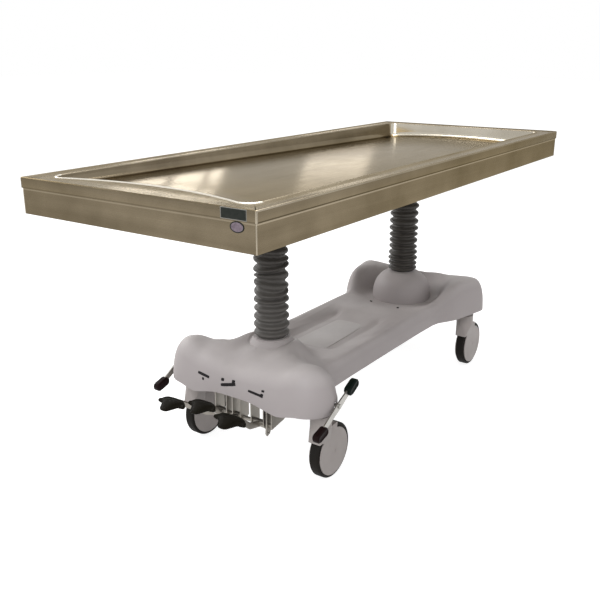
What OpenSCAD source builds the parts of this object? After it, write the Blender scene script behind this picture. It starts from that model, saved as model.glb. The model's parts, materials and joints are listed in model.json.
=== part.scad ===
// Embalming table: a stainless tray on two lifting columns, on a moulded base with four casters.
// The origin lies on the floor under the middle of the tray. +X runs from the pedal end to the
// drain end, +Y to the far long side, +Z up. Everything is in millimetres, at the photographed height.

/* [Tray] */
// Length of the tray over its rim
tray_length = 2014; // [1800:10:2300]
// Width of the tray over its rim
tray_width = 800; // [720:10:900]
// Height of the rim above the floor
table_height = 935; // [890:5:985]
// Height of the tray from its rim to the lower edge of its skirt
tray_height = 100; // [95:1:130]
// Height of the band round the rim
band_height = 29; // [20:1:40]
// Width of the rim at the long sides and the drain end
rim_width = 55; // [40:1:70]
// How far the lip at the pedal end bows into the basin
lip_bow = 55; // [10:1:90]
// Thickness of the tray's sheet
tray_sheet = 2; // [1.5:0.1:3]
// Radius on the outer edge of the rim
rim_edge_radius = 4; // [3:0.5:6]
// Radius of the rolled inner edge of the rim
roll_radius = 3; // [2.5:0.5:4]
// Radius of the tray's outer corners
outer_corner_radius = 6; // [5:1:12]
// Radius of the basin's corners
basin_corner_radius = 36; // [32:1:60]
// Depth of the floor below the rim at the pedal end
floor_depth = 27; // [26:1:32]
// Fall of the floor along the basin, in mm for each mm
floor_slope = 0.0175; // [0.005:0.0005:0.018]
// Height of the floor's crown over its side gutters
floor_crown = 12; // [4:1:14]
// Radius between the basin's walls and its floor
cove_radius = 20; // [12:1:21]
// How far the skirt stands back from the rim band
skirt_setback = 4; // [2:0.5:6]
// Thickness of the skirt panels
skirt_sheet = 1.5; // [1:0.1:3]
// Width of the flange along the foot of the skirt
skirt_flange = 16; // [10:1:25]

/* [Tray frame] */
// Distance between the two frame rails
frame_rail_pitch = 300; // [260:5:360]
// Width of a frame rail
frame_rail_width = 30; // [20:1:35]
// Height of a frame rail
frame_rail_height = 25; // [20:1:27]
// Wall of the frame rails and bearers
frame_wall = 2.5; // [2:0.5:4]
// Distance from a column's axis to the bearers on both sides of it
bearer_offset = 120; // [100:5:150]
// Width of a cross bearer
bearer_width = 40; // [30:1:50]
// Distance from the tray's ends to the first and last bearer
bearer_inset = 180; // [180:5:200]
// Depth of the frame's top face below the rim
frame_drop = 70; // [70:0.5:72]

/* [Drain] */
// Distance of the drain from the drain end of the tray
drain_from_end = 110; // [100:2:124]
// Distance of the drain from the near side of the tray
drain_from_side = 125; // [110:5:150]
// Outer radius of the drain spigot
drain_radius = 20; // [15:1:24]
// Wall of the drain spigot
drain_wall = 2; // [1.5:0.5:3]

/* [Columns] */
// Distance between the two columns
column_span = 880; // [860:10:960]
// Distance that the middle of the two columns stands behind the middle of the tray
column_shift = 11; // [0:1:16]
// Depth of the tray's pivot axis below the rim
pivot_drop = 84; // [84:1:86]
// Outer radius of the fixed column tubes
tube_radius = 40; // [38:0.5:41]
// Wall of the fixed column tubes
tube_wall = 5; // [4:0.5:6]
// Height of the foot of the fixed tubes above the floor
tube_foot = 165; // [150:5:190]
// Height of the top of the front tube above the floor
front_tube_top = 560; // [520:5:565]
// Height of the top of the rear tube above the floor
rear_tube_top = 500; // [470:5:505]
// Radius of the front ram
front_ram_radius = 30; // [26:1:32]
// Radius of the rear column's middle stage
mid_radius = 32; // [30:0.5:33]
// Wall of the middle stage
mid_wall = 4; // [3:0.5:5]
// Radius of the rear ram
rear_ram_radius = 24; // [20:1:25]
// Length of the guide bushes
bush_length = 50; // [30:1:60]
// Radius of the column heads
head_radius = 54; // [50:1:56]
// Thickness of the column heads
head_thickness = 10; // [8:1:12]
// Radius of the pivot pins
pin_radius = 8; // [6:0.5:9]
// Width of the head's tongue between the cheeks
tongue_width = 40; // [30:1:50]
// Thickness of the bracket cheeks
cheek = 8; // [6:1:10]
// Running clearance of shafts and rams, on the radius
running_gap = 0.06; // [0.03:0.01:0.09]
// Side clearance between pieces on different bodies
side_gap = 0.4; // [0.3:0.1:1]
// How far the rear pin may run along its slot, each way
slot_travel = 6; // [4:0.5:8]

/* [Bellows] */
// Outer radius over the bellows' folds
fold_radius = 55; // [53:0.5:58]
// Outer radius in the valleys between the folds
valley_radius = 45.5; // [45:0.5:47]
// Wall of the bellows
bellows_wall = 2.5; // [2:0.1:3]
// Folds in the front bellows
front_folds = 16; // [12:1:18]
// Folds in the lower rear bellows
rear_lower_folds = 12; // [11:1:15]
// Folds in the upper rear bellows
rear_upper_folds = 3; // [3:1:5]
// Height of the joint between the two rear bellows above the floor
rear_joint_height = 716; // [700:1:725]
// Thickness of the collar at that joint
mid_collar = 12; // [8:1:14]

/* [Base] */
// Distance between the front and rear swivel axes
wheelbase = 1100; // [1060:10:1160]
// How far the base sits towards the drain end
base_shift = 28; // [20:1:36]
// Distance between the front swivel axes across the base
front_track = 500; // [480:5:520]
// Distance between the rear swivel axes across the base
rear_track = 460; // [450:5:480]
// Height of the cover's lower edge above the floor
cover_foot = 245; // [240:1:250]
// Wall of the cover
cover_wall = 4; // [3:0.5:5]
// Distance from the front swivel axes to the cover's front face
front_overhang = 92; // [90:1:100]
// Distance from the rear swivel axes to the cover's rear face
rear_overhang = 66; // [60:1:80]
// How far the cover's end faces bow outwards in the middle
end_bow = 22; // [0:1:26]
// Half the width of the cover at its waist
waist_half_width = 200; // [170:5:240]
// Half the width of the cover at its front shoulders
shoulder_half_width = 304; // [300:1:305]
// Half the width of the cover at its rear end
rear_half_width = 292; // [280:1:304]
// Corner radius of the cover's front end, seen from above
front_corner_radius = 80; // [60:5:90]
// Corner radius of the cover's rear end, seen from above
rear_corner_radius = 42; // [40:2:60]
// Height of the front shoulders above the floor
front_shoulder_height = 384; // [372:1:386]
// Height of the saddle between a front shoulder and the column
saddle_height = 366; // [350:1:368]
// Height of the rear shoulders above the floor
rear_shoulder_height = 378; // [360:1:385]
// Height of the waist above the floor
waist_height = 317; // [314:1:330]
// Depth of the valley along the waist
valley_depth = 30; // [10:1:31]
// Half the width of the valley's floor
valley_half_width = 62; // [50:1:80]
// Height of the mound under the front column
mound_height = 374; // [371:1:376]
// Height of the collar that stands on the mound under the front bellows
collar_rise = 20; // [16:1:24]
// Radius of the collar's foot
collar_foot_radius = 73; // [70:1:76]
// How much the front edge dips between the shoulders
front_dip = 22; // [10:1:24]
// How much the rear edge dips between the shoulders
rear_dip = 10; // [4:1:12]
// Height of the hollow round the rear column
hollow_height = 296; // [296:1:300]
// Outer radius of the dome at the rear column
dome_radius = 116; // [105:1:117]
// Height of the top of the dome above the floor
dome_top = 410; // [400:1:420]
// Depth of the seat in the cover that the dome stands in
dome_seat = 0.5; // [0.3:0.1:1]
// Height of the chassis rails' lower face above the floor
chassis_foot = 250; // [250:1:252]
// Height of the chassis rails
chassis_rail_height = 30; // [26:1:30]
// Width of the chassis rails
chassis_rail_width = 30; // [24:1:34]
// Distance between the chassis rails
chassis_rail_pitch = 156; // [150:2:170]
// Width of the cross beams that carry the casters
beam_width = 50; // [48:1:52]
// Height of the cross beams
beam_height = 40; // [36:1:44]
// Wall of the chassis tubes
chassis_wall = 3; // [2:0.5:4]
// Thickness of the column plates
column_plate = 8; // [6:1:8]

/* [Casters] */
// Radius of the wheels over the tyre
wheel_radius = 88; // [80:1:90]
// Width of the tyre
tyre_width = 33; // [28:1:36]
// Depth of the tyre's tread
tyre_depth = 14; // [10:1:18]
// Distance from the swivel axis to the wheel's axle
caster_trail = 48; // [44:1:50]
// Radius of the disc cheeks
cheek_radius = 76; // [74:1:78]
// How far the disc cheeks stand in front of the axle
cheek_shift = 4; // [0:1:6]
// Thickness of the disc cheeks
disc_thickness = 3; // [3:0.5:5]
// Clearance between the tyre and the housing
wheel_gap = 1.5; // [1:0.5:3]
// Radius of the caster's neck
neck_radius = 33; // [30:1:36]
// Height of the top of the neck above the floor
neck_top = 230; // [224:1:234]
// Gap between the neck and the socket above it
swivel_gap = 0.5; // [0.3:0.1:2]
// Radius of the caster's stem
stem_radius = 14; // [12:1:16]
// Radius of the wheel's axle
axle_radius = 6; // [5:0.5:8]
// Wall of the caster sockets
socket_wall = 9; // [6:1:10]

/* [Pedals] */
// Height of the pedal shaft above the floor
pedal_shaft_height = 162; // [160:1:168]
// Distance of the pedal shaft behind the cover's front face
pedal_shaft_inset = 42; // [40:1:46]
// Radius of the pedal shaft
pedal_shaft_radius = 7; // [6:0.5:8]
// Places of the pedals' hubs across the table
pedal_hubs = [84, 22, -60];
// Places of the pedals' pads across the table
pedal_pads = [161, 52, -65];
// Distance of each pad in front of the pedal shaft
pedal_reach = [157, 141, 152];
// Rise of each pad over the pedal shaft
pedal_rise = [70, 84, 74];
// Width of a pedal pad between its wing tips
pad_width = [106, 104, 118];
// Depth of a pedal pad
pad_depth = 66; // [54:1:68]
// Thickness of a pedal pad
pad_thickness = 24; // [20:1:25]
// How far the pad's front lobe droops, for each mm forward
pad_droop = 0.24; // [0.1:0.01:0.5]
// Half the width of each hanger
hanger_half_width = [24, 17.5, 26];
// Thickness of the hanger plates
hanger_plate = 4; // [3:0.5:5]

/* [Brake] */
// Height of the brake shaft above the floor
brake_shaft_height = 267; // [266:1:268]
// Radius of the brake shaft
brake_shaft_radius = 6; // [5:0.5:6.5]
// Thickness of the rocker arms
rocker_thickness = 5; // [4:0.5:6]
// Clearance between the cover and the rocker arms
rocker_gap = 5; // [4:1:8]
// Place of the brake pad from the shaft, along and up
brake_pad_place = [-96, -52];
// Place of the steer pad from the shaft, along and up
steer_pad_place = [70, 36];
// Length of a rocker pad
rocker_pad_length = 58; // [50:1:60]
// Height of a rocker pad
rocker_pad_height = 29; // [26:1:30]
// Width of a rocker pad
rocker_pad_width = 24; // [18:1:24]
// Turn of the brake pad and of the steer pad on their arm, in degrees
rocker_pad_turn = [16, 28];
// Radius of the rocker's hub and of its arms' ends
rocker_radius = [12, 9];

/* [Hidden] */

$fn = 64;
steel_colour = [0.72, 0.69, 0.62];
grey_paint = [0.62, 0.62, 0.62];
cover_colour = [0.66, 0.63, 0.63];
rubber_colour = [0.27, 0.26, 0.24];
dark_rubber = [0.10, 0.10, 0.10];
red_rubber = [0.20, 0.06, 0.06];
green_rubber = [0.05, 0.14, 0.10];
zinc_colour = [0.78, 0.78, 0.76];
eps = 0.01;

// Places that the driving sizes give
rim_z = table_height;
skirt_foot_z = rim_z - tray_height;
band_foot_z = rim_z - band_height;
frame_top_z = rim_z - frame_drop;
frame_foot_z = frame_top_z - frame_rail_height;
pivot_z = rim_z - pivot_drop;
head_top_z = pivot_z - 16;
head_foot_z = head_top_z - head_thickness;
column_x = [column_shift - column_span / 2, column_shift + column_span / 2];
front_axis_x = base_shift - wheelbase / 2;
rear_axis_x = base_shift + wheelbase / 2;
cover_front_x = front_axis_x - front_overhang;
cover_rear_x = rear_axis_x + rear_overhang;
chassis_top_z = chassis_foot + chassis_rail_height;
column_plate_top_z = chassis_top_z + column_plate;
collar_top_z = mound_height + collar_rise;
mid_collar_top_z = rear_joint_height + mid_collar;
inner_corner_x = tray_length / 2 - rim_width;
inner_half_y = tray_width / 2 - rim_width;

function smooth(t) = let (u = min(max(t, 0), 1)) u * u * (3 - 2 * u);
function mix(a, b, t) = a + (b - a) * t;

// Joins rings of equal length, from one closing point to the other, into one closed surface
module skin(first, rings, last) {
    n = len(rings[0]);
    m = len(rings);
    points = concat([first], [for (r = rings) for (p = r) p], [last]);
    faces = concat(
        [for (i = [0:n - 1]) [0, 1 + (i + 1) % n, 1 + i]],
        [for (k = [0:m - 2]) for (i = [0:n - 1])
            let (a = 1 + k * n + i, b = 1 + k * n + (i + 1) % n) each [[a, b, b + n], [a, b + n, a + n]]],
        [for (i = [0:n - 1]) [1 + m * n, 1 + (m - 1) * n + i, 1 + (m - 1) * n + (i + 1) % n]]
    );
    polyhedron(points, faces);
}

// Outline of the tray seen from above: corner radius r, and the pedal end bowed in by bow
function tray_outline(x0, x1, y, r, bow) = concat(
    [for (k = [0:13]) let (v = (y - r) * (1 - k / 7)) [x0 + bow * (1 - pow(v / (y - r), 2)), v]],
    [for (k = [0:4]) let (a = 180 + 90 * k / 5) [x0 + r + r * cos(a), r - y + r * sin(a)]],
    [for (k = [0:9]) [mix(x0 + r, x1 - r, k / 10), -y]],
    [for (k = [0:4]) let (a = 270 + 90 * k / 5) [x1 - r + r * cos(a), r - y + r * sin(a)]],
    [for (k = [0:9]) [x1, mix(r - y, y - r, k / 10)]],
    [for (k = [0:4]) let (a = 90 * k / 5) [x1 - r + r * cos(a), y - r + r * sin(a)]],
    [for (k = [0:9]) [mix(x1 - r, x0 + r, k / 10), y]],
    [for (k = [0:4]) let (a = 90 + 90 * k / 5) [x0 + r + r * cos(a), y - r + r * sin(a)]]
);

// Height of the basin's floor: it falls to the drain end and rises to a crown along the middle
gutter_y = inner_half_y - roll_radius - cove_radius;
function floor_z(x, y) = rim_z - floor_depth - floor_slope * (x + inner_corner_x)
    + floor_crown * (1 - pow(min(abs(y), gutter_y) / gutter_y, 2));

// Where the floor lies high the cove shrinks, so that it stays below the rolled edge
function cove_rise(x, y) = min(cove_radius, rim_z - roll_radius - 0.5 - floor_z(x, y));

// A ring round the rim at a distance in from the outer edge
function rim_ring(inset, z) = [for (p = tray_outline(
    inset - tray_length / 2, tray_length / 2 - inset, tray_width / 2 - inset,
    max(outer_corner_radius - inset, 2), 0)) [p[0], p[1], z]];

// A ring round the basin at a distance in from the rim's inner edge, at a height or over the floor
function basin_outline(inset) = tray_outline(
    inset - inner_corner_x, inner_corner_x - inset, inner_half_y - inset,
    basin_corner_radius - min(inset, basin_corner_radius - 6), lip_bow);
function basin_ring(inset, z) = [for (p = basin_outline(inset)) [p[0], p[1], z]];
function floor_ring(inset, share, drop) = [for (p = basin_outline(inset))
    [p[0], p[1], floor_z(p[0], p[1]) + share * cove_rise(p[0], p[1]) - drop]];

// A ring on the floor, drawn in towards its middle
function inner_floor_ring(share, drop) = [for (p = basin_outline(roll_radius + cove_radius))
    let (x = share * p[0], y = share * p[1]) [x, y, floor_z(x, y) - drop]];

module tray_basin() {
    roll = roll_radius;
    cove = cove_radius;
    t = tray_sheet;
    e = rim_edge_radius;
    shares = [0.12, 0.3, 0.5, 0.7, 0.88];
    top = concat(
        [for (s = shares) inner_floor_ring(s, 0)],
        [for (a = [90, 60, 30, 0]) floor_ring(roll + cove * (1 - cos(a)), 1 - sin(a), 0)],
        [basin_ring(roll, rim_z - roll)],
        [for (a = [30, 60, 90]) basin_ring(roll * cos(a), rim_z - roll + roll * sin(a))]
    );
    band = concat(
        [for (a = [90, 60, 30, 0]) rim_ring(e * (1 - cos(a)), rim_z - e + e * sin(a))],
        [rim_ring(0, band_foot_z), rim_ring(skirt_flange, band_foot_z)],
        [rim_ring(skirt_flange, band_foot_z + t), rim_ring(t, band_foot_z + t)],
        [rim_ring(t, rim_z - e), rim_ring(e, rim_z - t)]
    );
    under = concat(
        [basin_ring(0, rim_z - t), basin_ring(roll - t, rim_z - roll - t / 2)],
        [for (a = [0, 30, 60, 90]) floor_ring(roll - t * cos(a) + cove * (1 - cos(a)),
            1 - sin(a), t * sin(a))],
        [for (k = [4:-1:0]) inner_floor_ring(shares[k], t)]
    );
    color(steel_colour) difference() {
        skin([0, 0, floor_z(0, 0)], concat(top, band, under), [0, 0, floor_z(0, 0) - t]);
        translate([drain_x, drain_y, rim_z - tray_height]) cylinder(r = drain_radius + 6, h = tray_height);
    }
}

// A skirt panel along X, with its foot turned in
module skirt_panel(length) {
    height = band_foot_z - skirt_foot_z;
    rotate([90, 0, 90]) linear_extrude(length, center = true) polygon([
        [0, 0], [skirt_flange, 0], [skirt_flange, skirt_sheet], [skirt_sheet, skirt_sheet],
        [skirt_sheet, height], [0, height]
    ]);
}

module skirt_sides() {
    reach = tray_length - 2 * skirt_setback;
    color(steel_colour) for (side = [0, 1]) mirror([0, side, 0])
        translate([0, skirt_setback - tray_width / 2, skirt_foot_z]) skirt_panel(reach);
}

// The end panels stand between the side panels' flanges
module skirt_ends() {
    reach = tray_width - 2 * skirt_setback - 2 * skirt_flange;
    color(steel_colour) for (end = [0, 1]) mirror([end, 0, 0])
        translate([skirt_setback - tray_length / 2, 0, skirt_foot_z]) rotate(-90) {
            skirt_panel(reach);
            height = band_foot_z - skirt_foot_z;
            for (s = [-1, 1]) translate([s * (reach + skirt_flange - skirt_sheet) / 2,
                skirt_sheet / 2, skirt_sheet + (height - skirt_sheet) / 2])
                cube([skirt_flange - skirt_sheet, skirt_sheet, height - skirt_sheet], center = true);
        }
}

frame_reach = tray_length - 2 * (skirt_setback + skirt_flange + 2);

module box_tube(length, width, height, wall) {
    rotate([90, 0, 90]) linear_extrude(length, center = true) difference() {
        square([width, height], center = true);
        square([width - 2 * wall, height - 2 * wall], center = true);
    }
}

module tray_rails() {
    color(steel_colour) for (s = [-1, 1])
        translate([0, s * frame_rail_pitch / 2, frame_foot_z + frame_rail_height / 2])
            box_tube(frame_reach, frame_rail_width, frame_rail_height, frame_wall);
}

// Each bearer is a channel whose top follows the crowned floor just below it
bearer_gap = 0.5;
bearer_half_y = tray_width / 2 - skirt_setback - skirt_sheet;
bearer_places = concat(
    [0], [for (s = [-1, 1]) s * (tray_length / 2 - bearer_inset)],
    [for (x = column_x) for (s = [-1, 1]) x + s * bearer_offset]);
function bearer_top(x, y) = floor_z(x + bearer_width / 2, y) - tray_sheet - bearer_gap - frame_top_z;

module bearer_profile(x, inset) {
    half = bearer_half_y - inset;
    ys = concat([-half], [for (k = [0:14]) mix(-gutter_y, gutter_y, k / 14)], [half]);
    polygon(concat(
        [[ys[0], inset > 0 ? -1 : 0]],
        [for (y = ys) [y, bearer_top(x, y) - inset]],
        [[ys[16], inset > 0 ? -1 : 0]]
    ));
}

module cross_bearers() {
    color(steel_colour) for (x = bearer_places) {
        translate([x, 0, frame_top_z]) rotate([90, 0, 90]) difference() {
            linear_extrude(bearer_width, center = true) bearer_profile(x, 0);
            linear_extrude(bearer_width - 2 * frame_wall, center = true) bearer_profile(x, frame_wall);
        }
    }
}

drain_x = tray_length / 2 - drain_from_end;
drain_y = drain_from_side - tray_width / 2;
drain_foot_z = skirt_foot_z + 2;

module drain_outlet() {
    neck_z = floor_z(drain_x, drain_y) - 1;
    flange_z = neck_z - tray_sheet - 4;
    color(steel_colour) translate([drain_x, drain_y, 0]) rotate_extrude() polygon([
        [drain_radius - drain_wall, drain_foot_z], [drain_radius, drain_foot_z],
        [drain_radius, flange_z - 3], [drain_radius + 12, flange_z - 3],
        [drain_radius + 12, flange_z], [drain_radius + 5.7, flange_z],
        [drain_radius + 5.7, neck_z], [drain_radius + 3, neck_z],
        [drain_radius - drain_wall, neck_z - 3]
    ]);
}

// Plate over the frame rails with two cheeks that straddle the head's tongue
module pivot_bracket(slot) {
    plate_half_y = frame_rail_pitch / 2 + frame_rail_width / 2;
    cheek_y = tongue_width / 2 + side_gap;
    eye_radius = pin_radius + 5;
    half_x = eye_radius + slot + 8;
    translate([-half_x, -plate_half_y, frame_top_z]) cube([2 * half_x, 2 * plate_half_y, 5]);
    for (side = [0, 1]) mirror([0, side, 0]) difference() {
        translate([0, cheek_y, 0]) rotate([90, 0, 0]) mirror([0, 0, 1]) linear_extrude(cheek)
            difference() {
                union() {
                    translate([-half_x, pivot_z]) square([2 * half_x, frame_top_z - pivot_z]);
                    for (s = [-1, 1]) translate([s * slot, pivot_z]) circle(r = eye_radius);
                    if (slot > 0)
                        translate([-slot, pivot_z - eye_radius]) square([2 * slot, eye_radius]);
                }
                if (slot > 0) {
                    for (s = [-1, 1]) translate([s * slot, pivot_z]) circle(r = pin_radius + side_gap);
                    translate([-slot, pivot_z - pin_radius - side_gap])
                        square([2 * slot, 2 * (pin_radius + side_gap)]);
                }
            }
        if (slot == 0)
            translate([0, 0, pivot_z]) rotate([-90, 0, 0])
                cylinder(r = pin_radius + running_gap, h = 3 * tongue_width);
    }
}

module front_pivot_bracket() {
    color(grey_paint) translate([column_x[0], 0, 0]) pivot_bracket(0);
}

module rear_slot_bracket() {
    color(grey_paint) translate([column_x[1], 0, 0]) pivot_bracket(slot_travel);
}

module headed_pin(reach) {
    rotate([90, 0, 0]) {
        cylinder(r = pin_radius, h = 2 * reach, center = true);
        for (s = [-1, 1]) translate([0, 0, s * (reach + 2)])
            cylinder(r = pin_radius + 3, h = 4, center = true);
    }
}

pin_reach = tongue_width / 2 + side_gap + cheek + side_gap;

module front_pivot_pin() {
    color(zinc_colour) translate([column_x[0], 0, pivot_z]) headed_pin(pin_reach);
}

module rear_slide_pin() {
    color(zinc_colour) translate([column_x[1], 0, pivot_z]) headed_pin(pin_reach);
}

// Head plate of a column with the tongue that takes the pivot pin
module column_head() {
    tongue_radius = pin_radius + 4;
    translate([0, 0, head_foot_z]) cylinder(r = head_radius, h = head_thickness);
    difference() {
        union() {
            translate([-tongue_radius, -tongue_width / 2, head_top_z - eps])
                cube([2 * tongue_radius, tongue_width, pivot_z - head_top_z + eps]);
            translate([0, 0, pivot_z]) rotate([90, 0, 0])
                cylinder(r = tongue_radius, h = tongue_width, center = true);
        }
        translate([0, 0, pivot_z]) rotate([90, 0, 0])
            cylinder(r = pin_radius + running_gap, h = tongue_width + 2, center = true);
    }
}

module front_head() {
    color(grey_paint) translate([column_x[0], 0, 0]) column_head();
}

module rear_head() {
    color(grey_paint) translate([column_x[1], 0, 0]) column_head();
}

// Feet of the moving stages, so that each stays in its guide at the top of the stroke
front_ram_foot = front_tube_top - 160;
mid_foot = rear_tube_top - 120;
rear_ram_foot = rear_joint_height - 216;

module ram(radius, foot, top) {
    difference() {
        translate([0, 0, foot]) cylinder(r = radius, h = top - foot);
        translate([0, 0, foot - 1]) cylinder(r = radius - 5, h = top - foot - 20);
    }
}

module front_ram() {
    color(zinc_colour) translate([column_x[0], 0, 0]) ram(front_ram_radius, front_ram_foot, head_foot_z);
}

module rear_ram() {
    color(zinc_colour) translate([column_x[1], 0, 0]) ram(rear_ram_radius, rear_ram_foot, head_foot_z);
}

// Middle stage of the rear column: a tube with the collar that carries both rear bellows
module rear_mid_stage() {
    color(zinc_colour) translate([column_x[1], 0, 0]) difference() {
        union() {
            translate([0, 0, mid_foot]) cylinder(r = mid_radius, h = mid_collar_top_z - mid_foot);
            translate([0, 0, rear_joint_height]) cylinder(r = valley_radius, h = mid_collar);
        }
        translate([0, 0, mid_foot - 1])
            cylinder(r = mid_radius - mid_wall, h = mid_collar_top_z - mid_foot - bush_length + 1);
        translate([0, 0, mid_foot]) cylinder(r = rear_ram_radius + running_gap, h = 2 * table_height);
    }
}

// Share by which the rear folds open from the foot to the top
fold_growth = 0.6;

// Bellows as a revolved ribbon: round folds outside, narrow valleys between them. The pitch grows
// by the share grow from the foot to the top.
function fold_height(k, folds, grow) = let (t = k / folds) t + grow * t * (t - 1) / 2;
fold_shape = [[0, 0], [0.12, 0.62], [0.3, 0.93], [0.5, 1], [0.7, 0.93], [0.88, 0.62]];
function bellows_path(z0, z1, folds, grow, inset) = concat(
    [for (k = [0:folds - 1]) for (f = fold_shape)
        let (a = fold_height(k, folds, grow), b = fold_height(k + 1, folds, grow))
        [mix(valley_radius, fold_radius, f[1]) - inset, mix(z0, z1, a + (b - a) * f[0])]],
    [[valley_radius - inset, z1]]
);

module bellows(z0, z1, folds, grow) {
    inner = bellows_path(z0, z1, folds, grow, bellows_wall);
    rotate_extrude() polygon(concat(
        bellows_path(z0, z1, folds, grow, 0),
        [for (k = [len(inner) - 1:-1:0]) inner[k]]
    ));
}

module front_bellows() {
    color(rubber_colour) translate([column_x[0], 0, 0])
        bellows(collar_top_z, head_foot_z, front_folds, 0);
}

module rear_bellows_lower() {
    color(rubber_colour) translate([column_x[1], 0, 0])
        bellows(dome_top, rear_joint_height, rear_lower_folds, fold_growth);
}

module rear_bellows_upper() {
    color(rubber_colour) translate([column_x[1], 0, 0])
        bellows(mid_collar_top_z, head_foot_z, rear_upper_folds, 0);
}

// The cover's plan: narrow at the waist, wide at both ends, with round corners
front_flare = [cover_front_x + 92, cover_front_x + 232];
rear_flare = [cover_rear_x - 319, cover_rear_x - 224, cover_rear_x + 6];
function front_width_share(x) = smooth((front_flare[1] - x) / (front_flare[1] - front_flare[0]));
function rear_width_share(x) = 0.6 * smooth((x - rear_flare[0]) / 130)
    + 0.4 * smooth((x - rear_flare[1]) / (rear_flare[2] - rear_flare[1]));
function corner_cut(d, r) = d >= r ? 0 : r - sqrt(pow(r, 2) - pow(r - max(d, 0), 2));
function cover_half_width(x) = waist_half_width
    + (shoulder_half_width - waist_half_width) * front_width_share(x)
    + (rear_half_width - waist_half_width) * rear_width_share(x)
    - corner_cut(x - cover_front_x, front_corner_radius)
    - corner_cut(cover_rear_x - x, rear_corner_radius);

// Height of the cover's top, built from the waist, the shoulders, the mound and the hollow
function front_share(x) = smooth((front_flare[1] - 20 - x) / 140);
function rear_share(x) = smooth((x - rear_flare[0] - 30) / 120);
function front_level(x, y) = mix(saddle_height, front_shoulder_height, smooth((abs(y) - 60) / 165))
    - front_dip * (1 - smooth((x - cover_front_x - 60) / 90)) * (1 - smooth((abs(y) - 30) / 140));
function rear_level(y) = rear_shoulder_height - rear_dip * (1 - smooth((abs(y) - 110) / 120));
function mound_share(x, y) = smooth((142 - norm([x - column_x[0], y])) / 62);
function valley_share(x, y) = smooth((x - column_x[0] - 165) / 45) * smooth((column_x[1] - 320 - x) / 45)
    * smooth((valley_half_width + 36 - abs(y)) / 36);
function hollow_share(x, y) = let (
    dx = x - column_x[1],
    floor_reach = norm([dx / (dx < 0 ? dome_radius + 25 : dome_radius + 12), y / (dome_radius + 28)]),
    wall_reach = norm([dx / (dx < 0 ? 270 : cover_rear_x - column_x[1] - 18), y / 210]))
    floor_reach <= 1 ? 1 : wall_reach >= 1 ? 0
    : smooth((1 - wall_reach) / (floor_reach - wall_reach));
function cover_top(x, y) = let (
    ends = mix(mix(waist_height, front_level(x, y), front_share(x)), rear_level(y), rear_share(x)),
    valley = ends - valley_depth * valley_share(x, y),
    mound = mix(valley, mound_height, mound_share(x, y)))
    mix(mound, hollow_height, hollow_share(x, y));

// Rounding of the cover's edges: how far in, and how much of the height, at each step
edge_power = 0.8;
edge_steps = 6;
function edge_in(k) = 1 - pow(cos(90 * k / edge_steps), edge_power);
function edge_rise(k) = pow(sin(90 * k / edge_steps), edge_power);
front_round = 78;
rear_round = 46;
function side_round(x) = 40 + 48 * front_width_share(x) + 10 * rear_width_share(x);

along_steps = 33;
across_steps = 18;
along = concat(
    [for (k = [0:edge_steps - 1]) [cover_front_x + front_round * edge_in(k), edge_rise(k)]],
    [for (k = [0:along_steps]) [mix(cover_front_x + front_round, cover_rear_x - rear_round, k / along_steps), 1]],
    [for (k = [edge_steps - 1:-1:0]) [cover_rear_x - rear_round * edge_in(k), edge_rise(k)]]
);

// One cross row of the cover's grid, set in by the wall for the inner face
function cover_row(station, wall) = let (
    x = station[0],
    middle = (cover_front_x + cover_rear_x) / 2,
    half = (cover_rear_x - cover_front_x) / 2,
    xi = middle + (x - middle) * (half - wall) / half,
    hw = cover_half_width(x) - wall,
    r = side_round(x),
    bow = end_bow * (smooth((xi - cover_rear_x + 120) / 120) - smooth((cover_front_x + 120 - xi) / 120)),
    across = concat(
        [for (k = [0:edge_steps - 1]) [-hw + r * edge_in(k), edge_rise(k)]],
        [for (k = [0:across_steps]) [mix(r - hw, hw - r, k / across_steps), 1]],
        [for (k = [edge_steps - 1:-1:0]) [hw - r * edge_in(k), edge_rise(k)]]))
    [for (p = across) [xi + bow * (1 - pow(p[0] / shoulder_half_width, 2)), p[0], cover_foot + (cover_top(x, p[0]) - wall - cover_foot) * p[1] * station[1]]];

module cover_shell() {
    outer = [for (s = along) cover_row(s, 0)];
    inner = [for (s = along) cover_row(s, cover_wall)];
    m = len(outer) - 1;
    n = len(outer[0]) - 1;
    size = (m + 1) * (n + 1);
    edge = concat(
        [for (i = [0:m - 1]) i * (n + 1)], [for (j = [0:n - 1]) m * (n + 1) + j],
        [for (i = [m:-1:1]) i * (n + 1) + n], [for (j = [n:-1:1]) j]);
    quads = [for (i = [0:m - 1]) for (j = [0:n - 1])
        let (a = i * (n + 1) + j) [a, a + 1, a + n + 2, a + n + 1]];
    polyhedron(
        concat([for (r = outer) for (p = r) p], [for (r = inner) for (p = r) p]),
        concat(
            [for (k = [0:len(edge) - 1]) let (a = edge[k], b = edge[(k + 1) % len(edge)])
                each [[a, b, b + size], [a, b + size, a + size]]],
            [for (q = quads) each [[q[0], q[1], q[2]], [q[0], q[2], q[3]]]],
            [for (q = quads) each [[q[2] + size, q[1] + size, q[0] + size],
                [q[3] + size, q[2] + size, q[0] + size]]]
        )
    );
}

module base_cover() {
    color(cover_colour) difference() {
        cover_shell();
        translate([column_x[0], 0, cover_foot + 40]) cylinder(r = fold_radius + 3.3, h = 200);
        translate([column_x[0], 0, mound_height - dome_seat])
            cylinder(r = collar_foot_radius + side_gap, h = 200);
        translate([column_x[1], 0, cover_foot + 10]) cylinder(r = dome_radius - 32, h = 200);
        translate([column_x[1], 0, hollow_height - dome_seat]) cylinder(r = dome_radius + side_gap, h = 200);
        translate([front_axis_x, 0, brake_shaft_height]) rotate([90, 0, 0])
            cylinder(r = brake_shaft_radius + 4, h = 4 * shoulder_half_width, center = true);
    }
}

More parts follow.
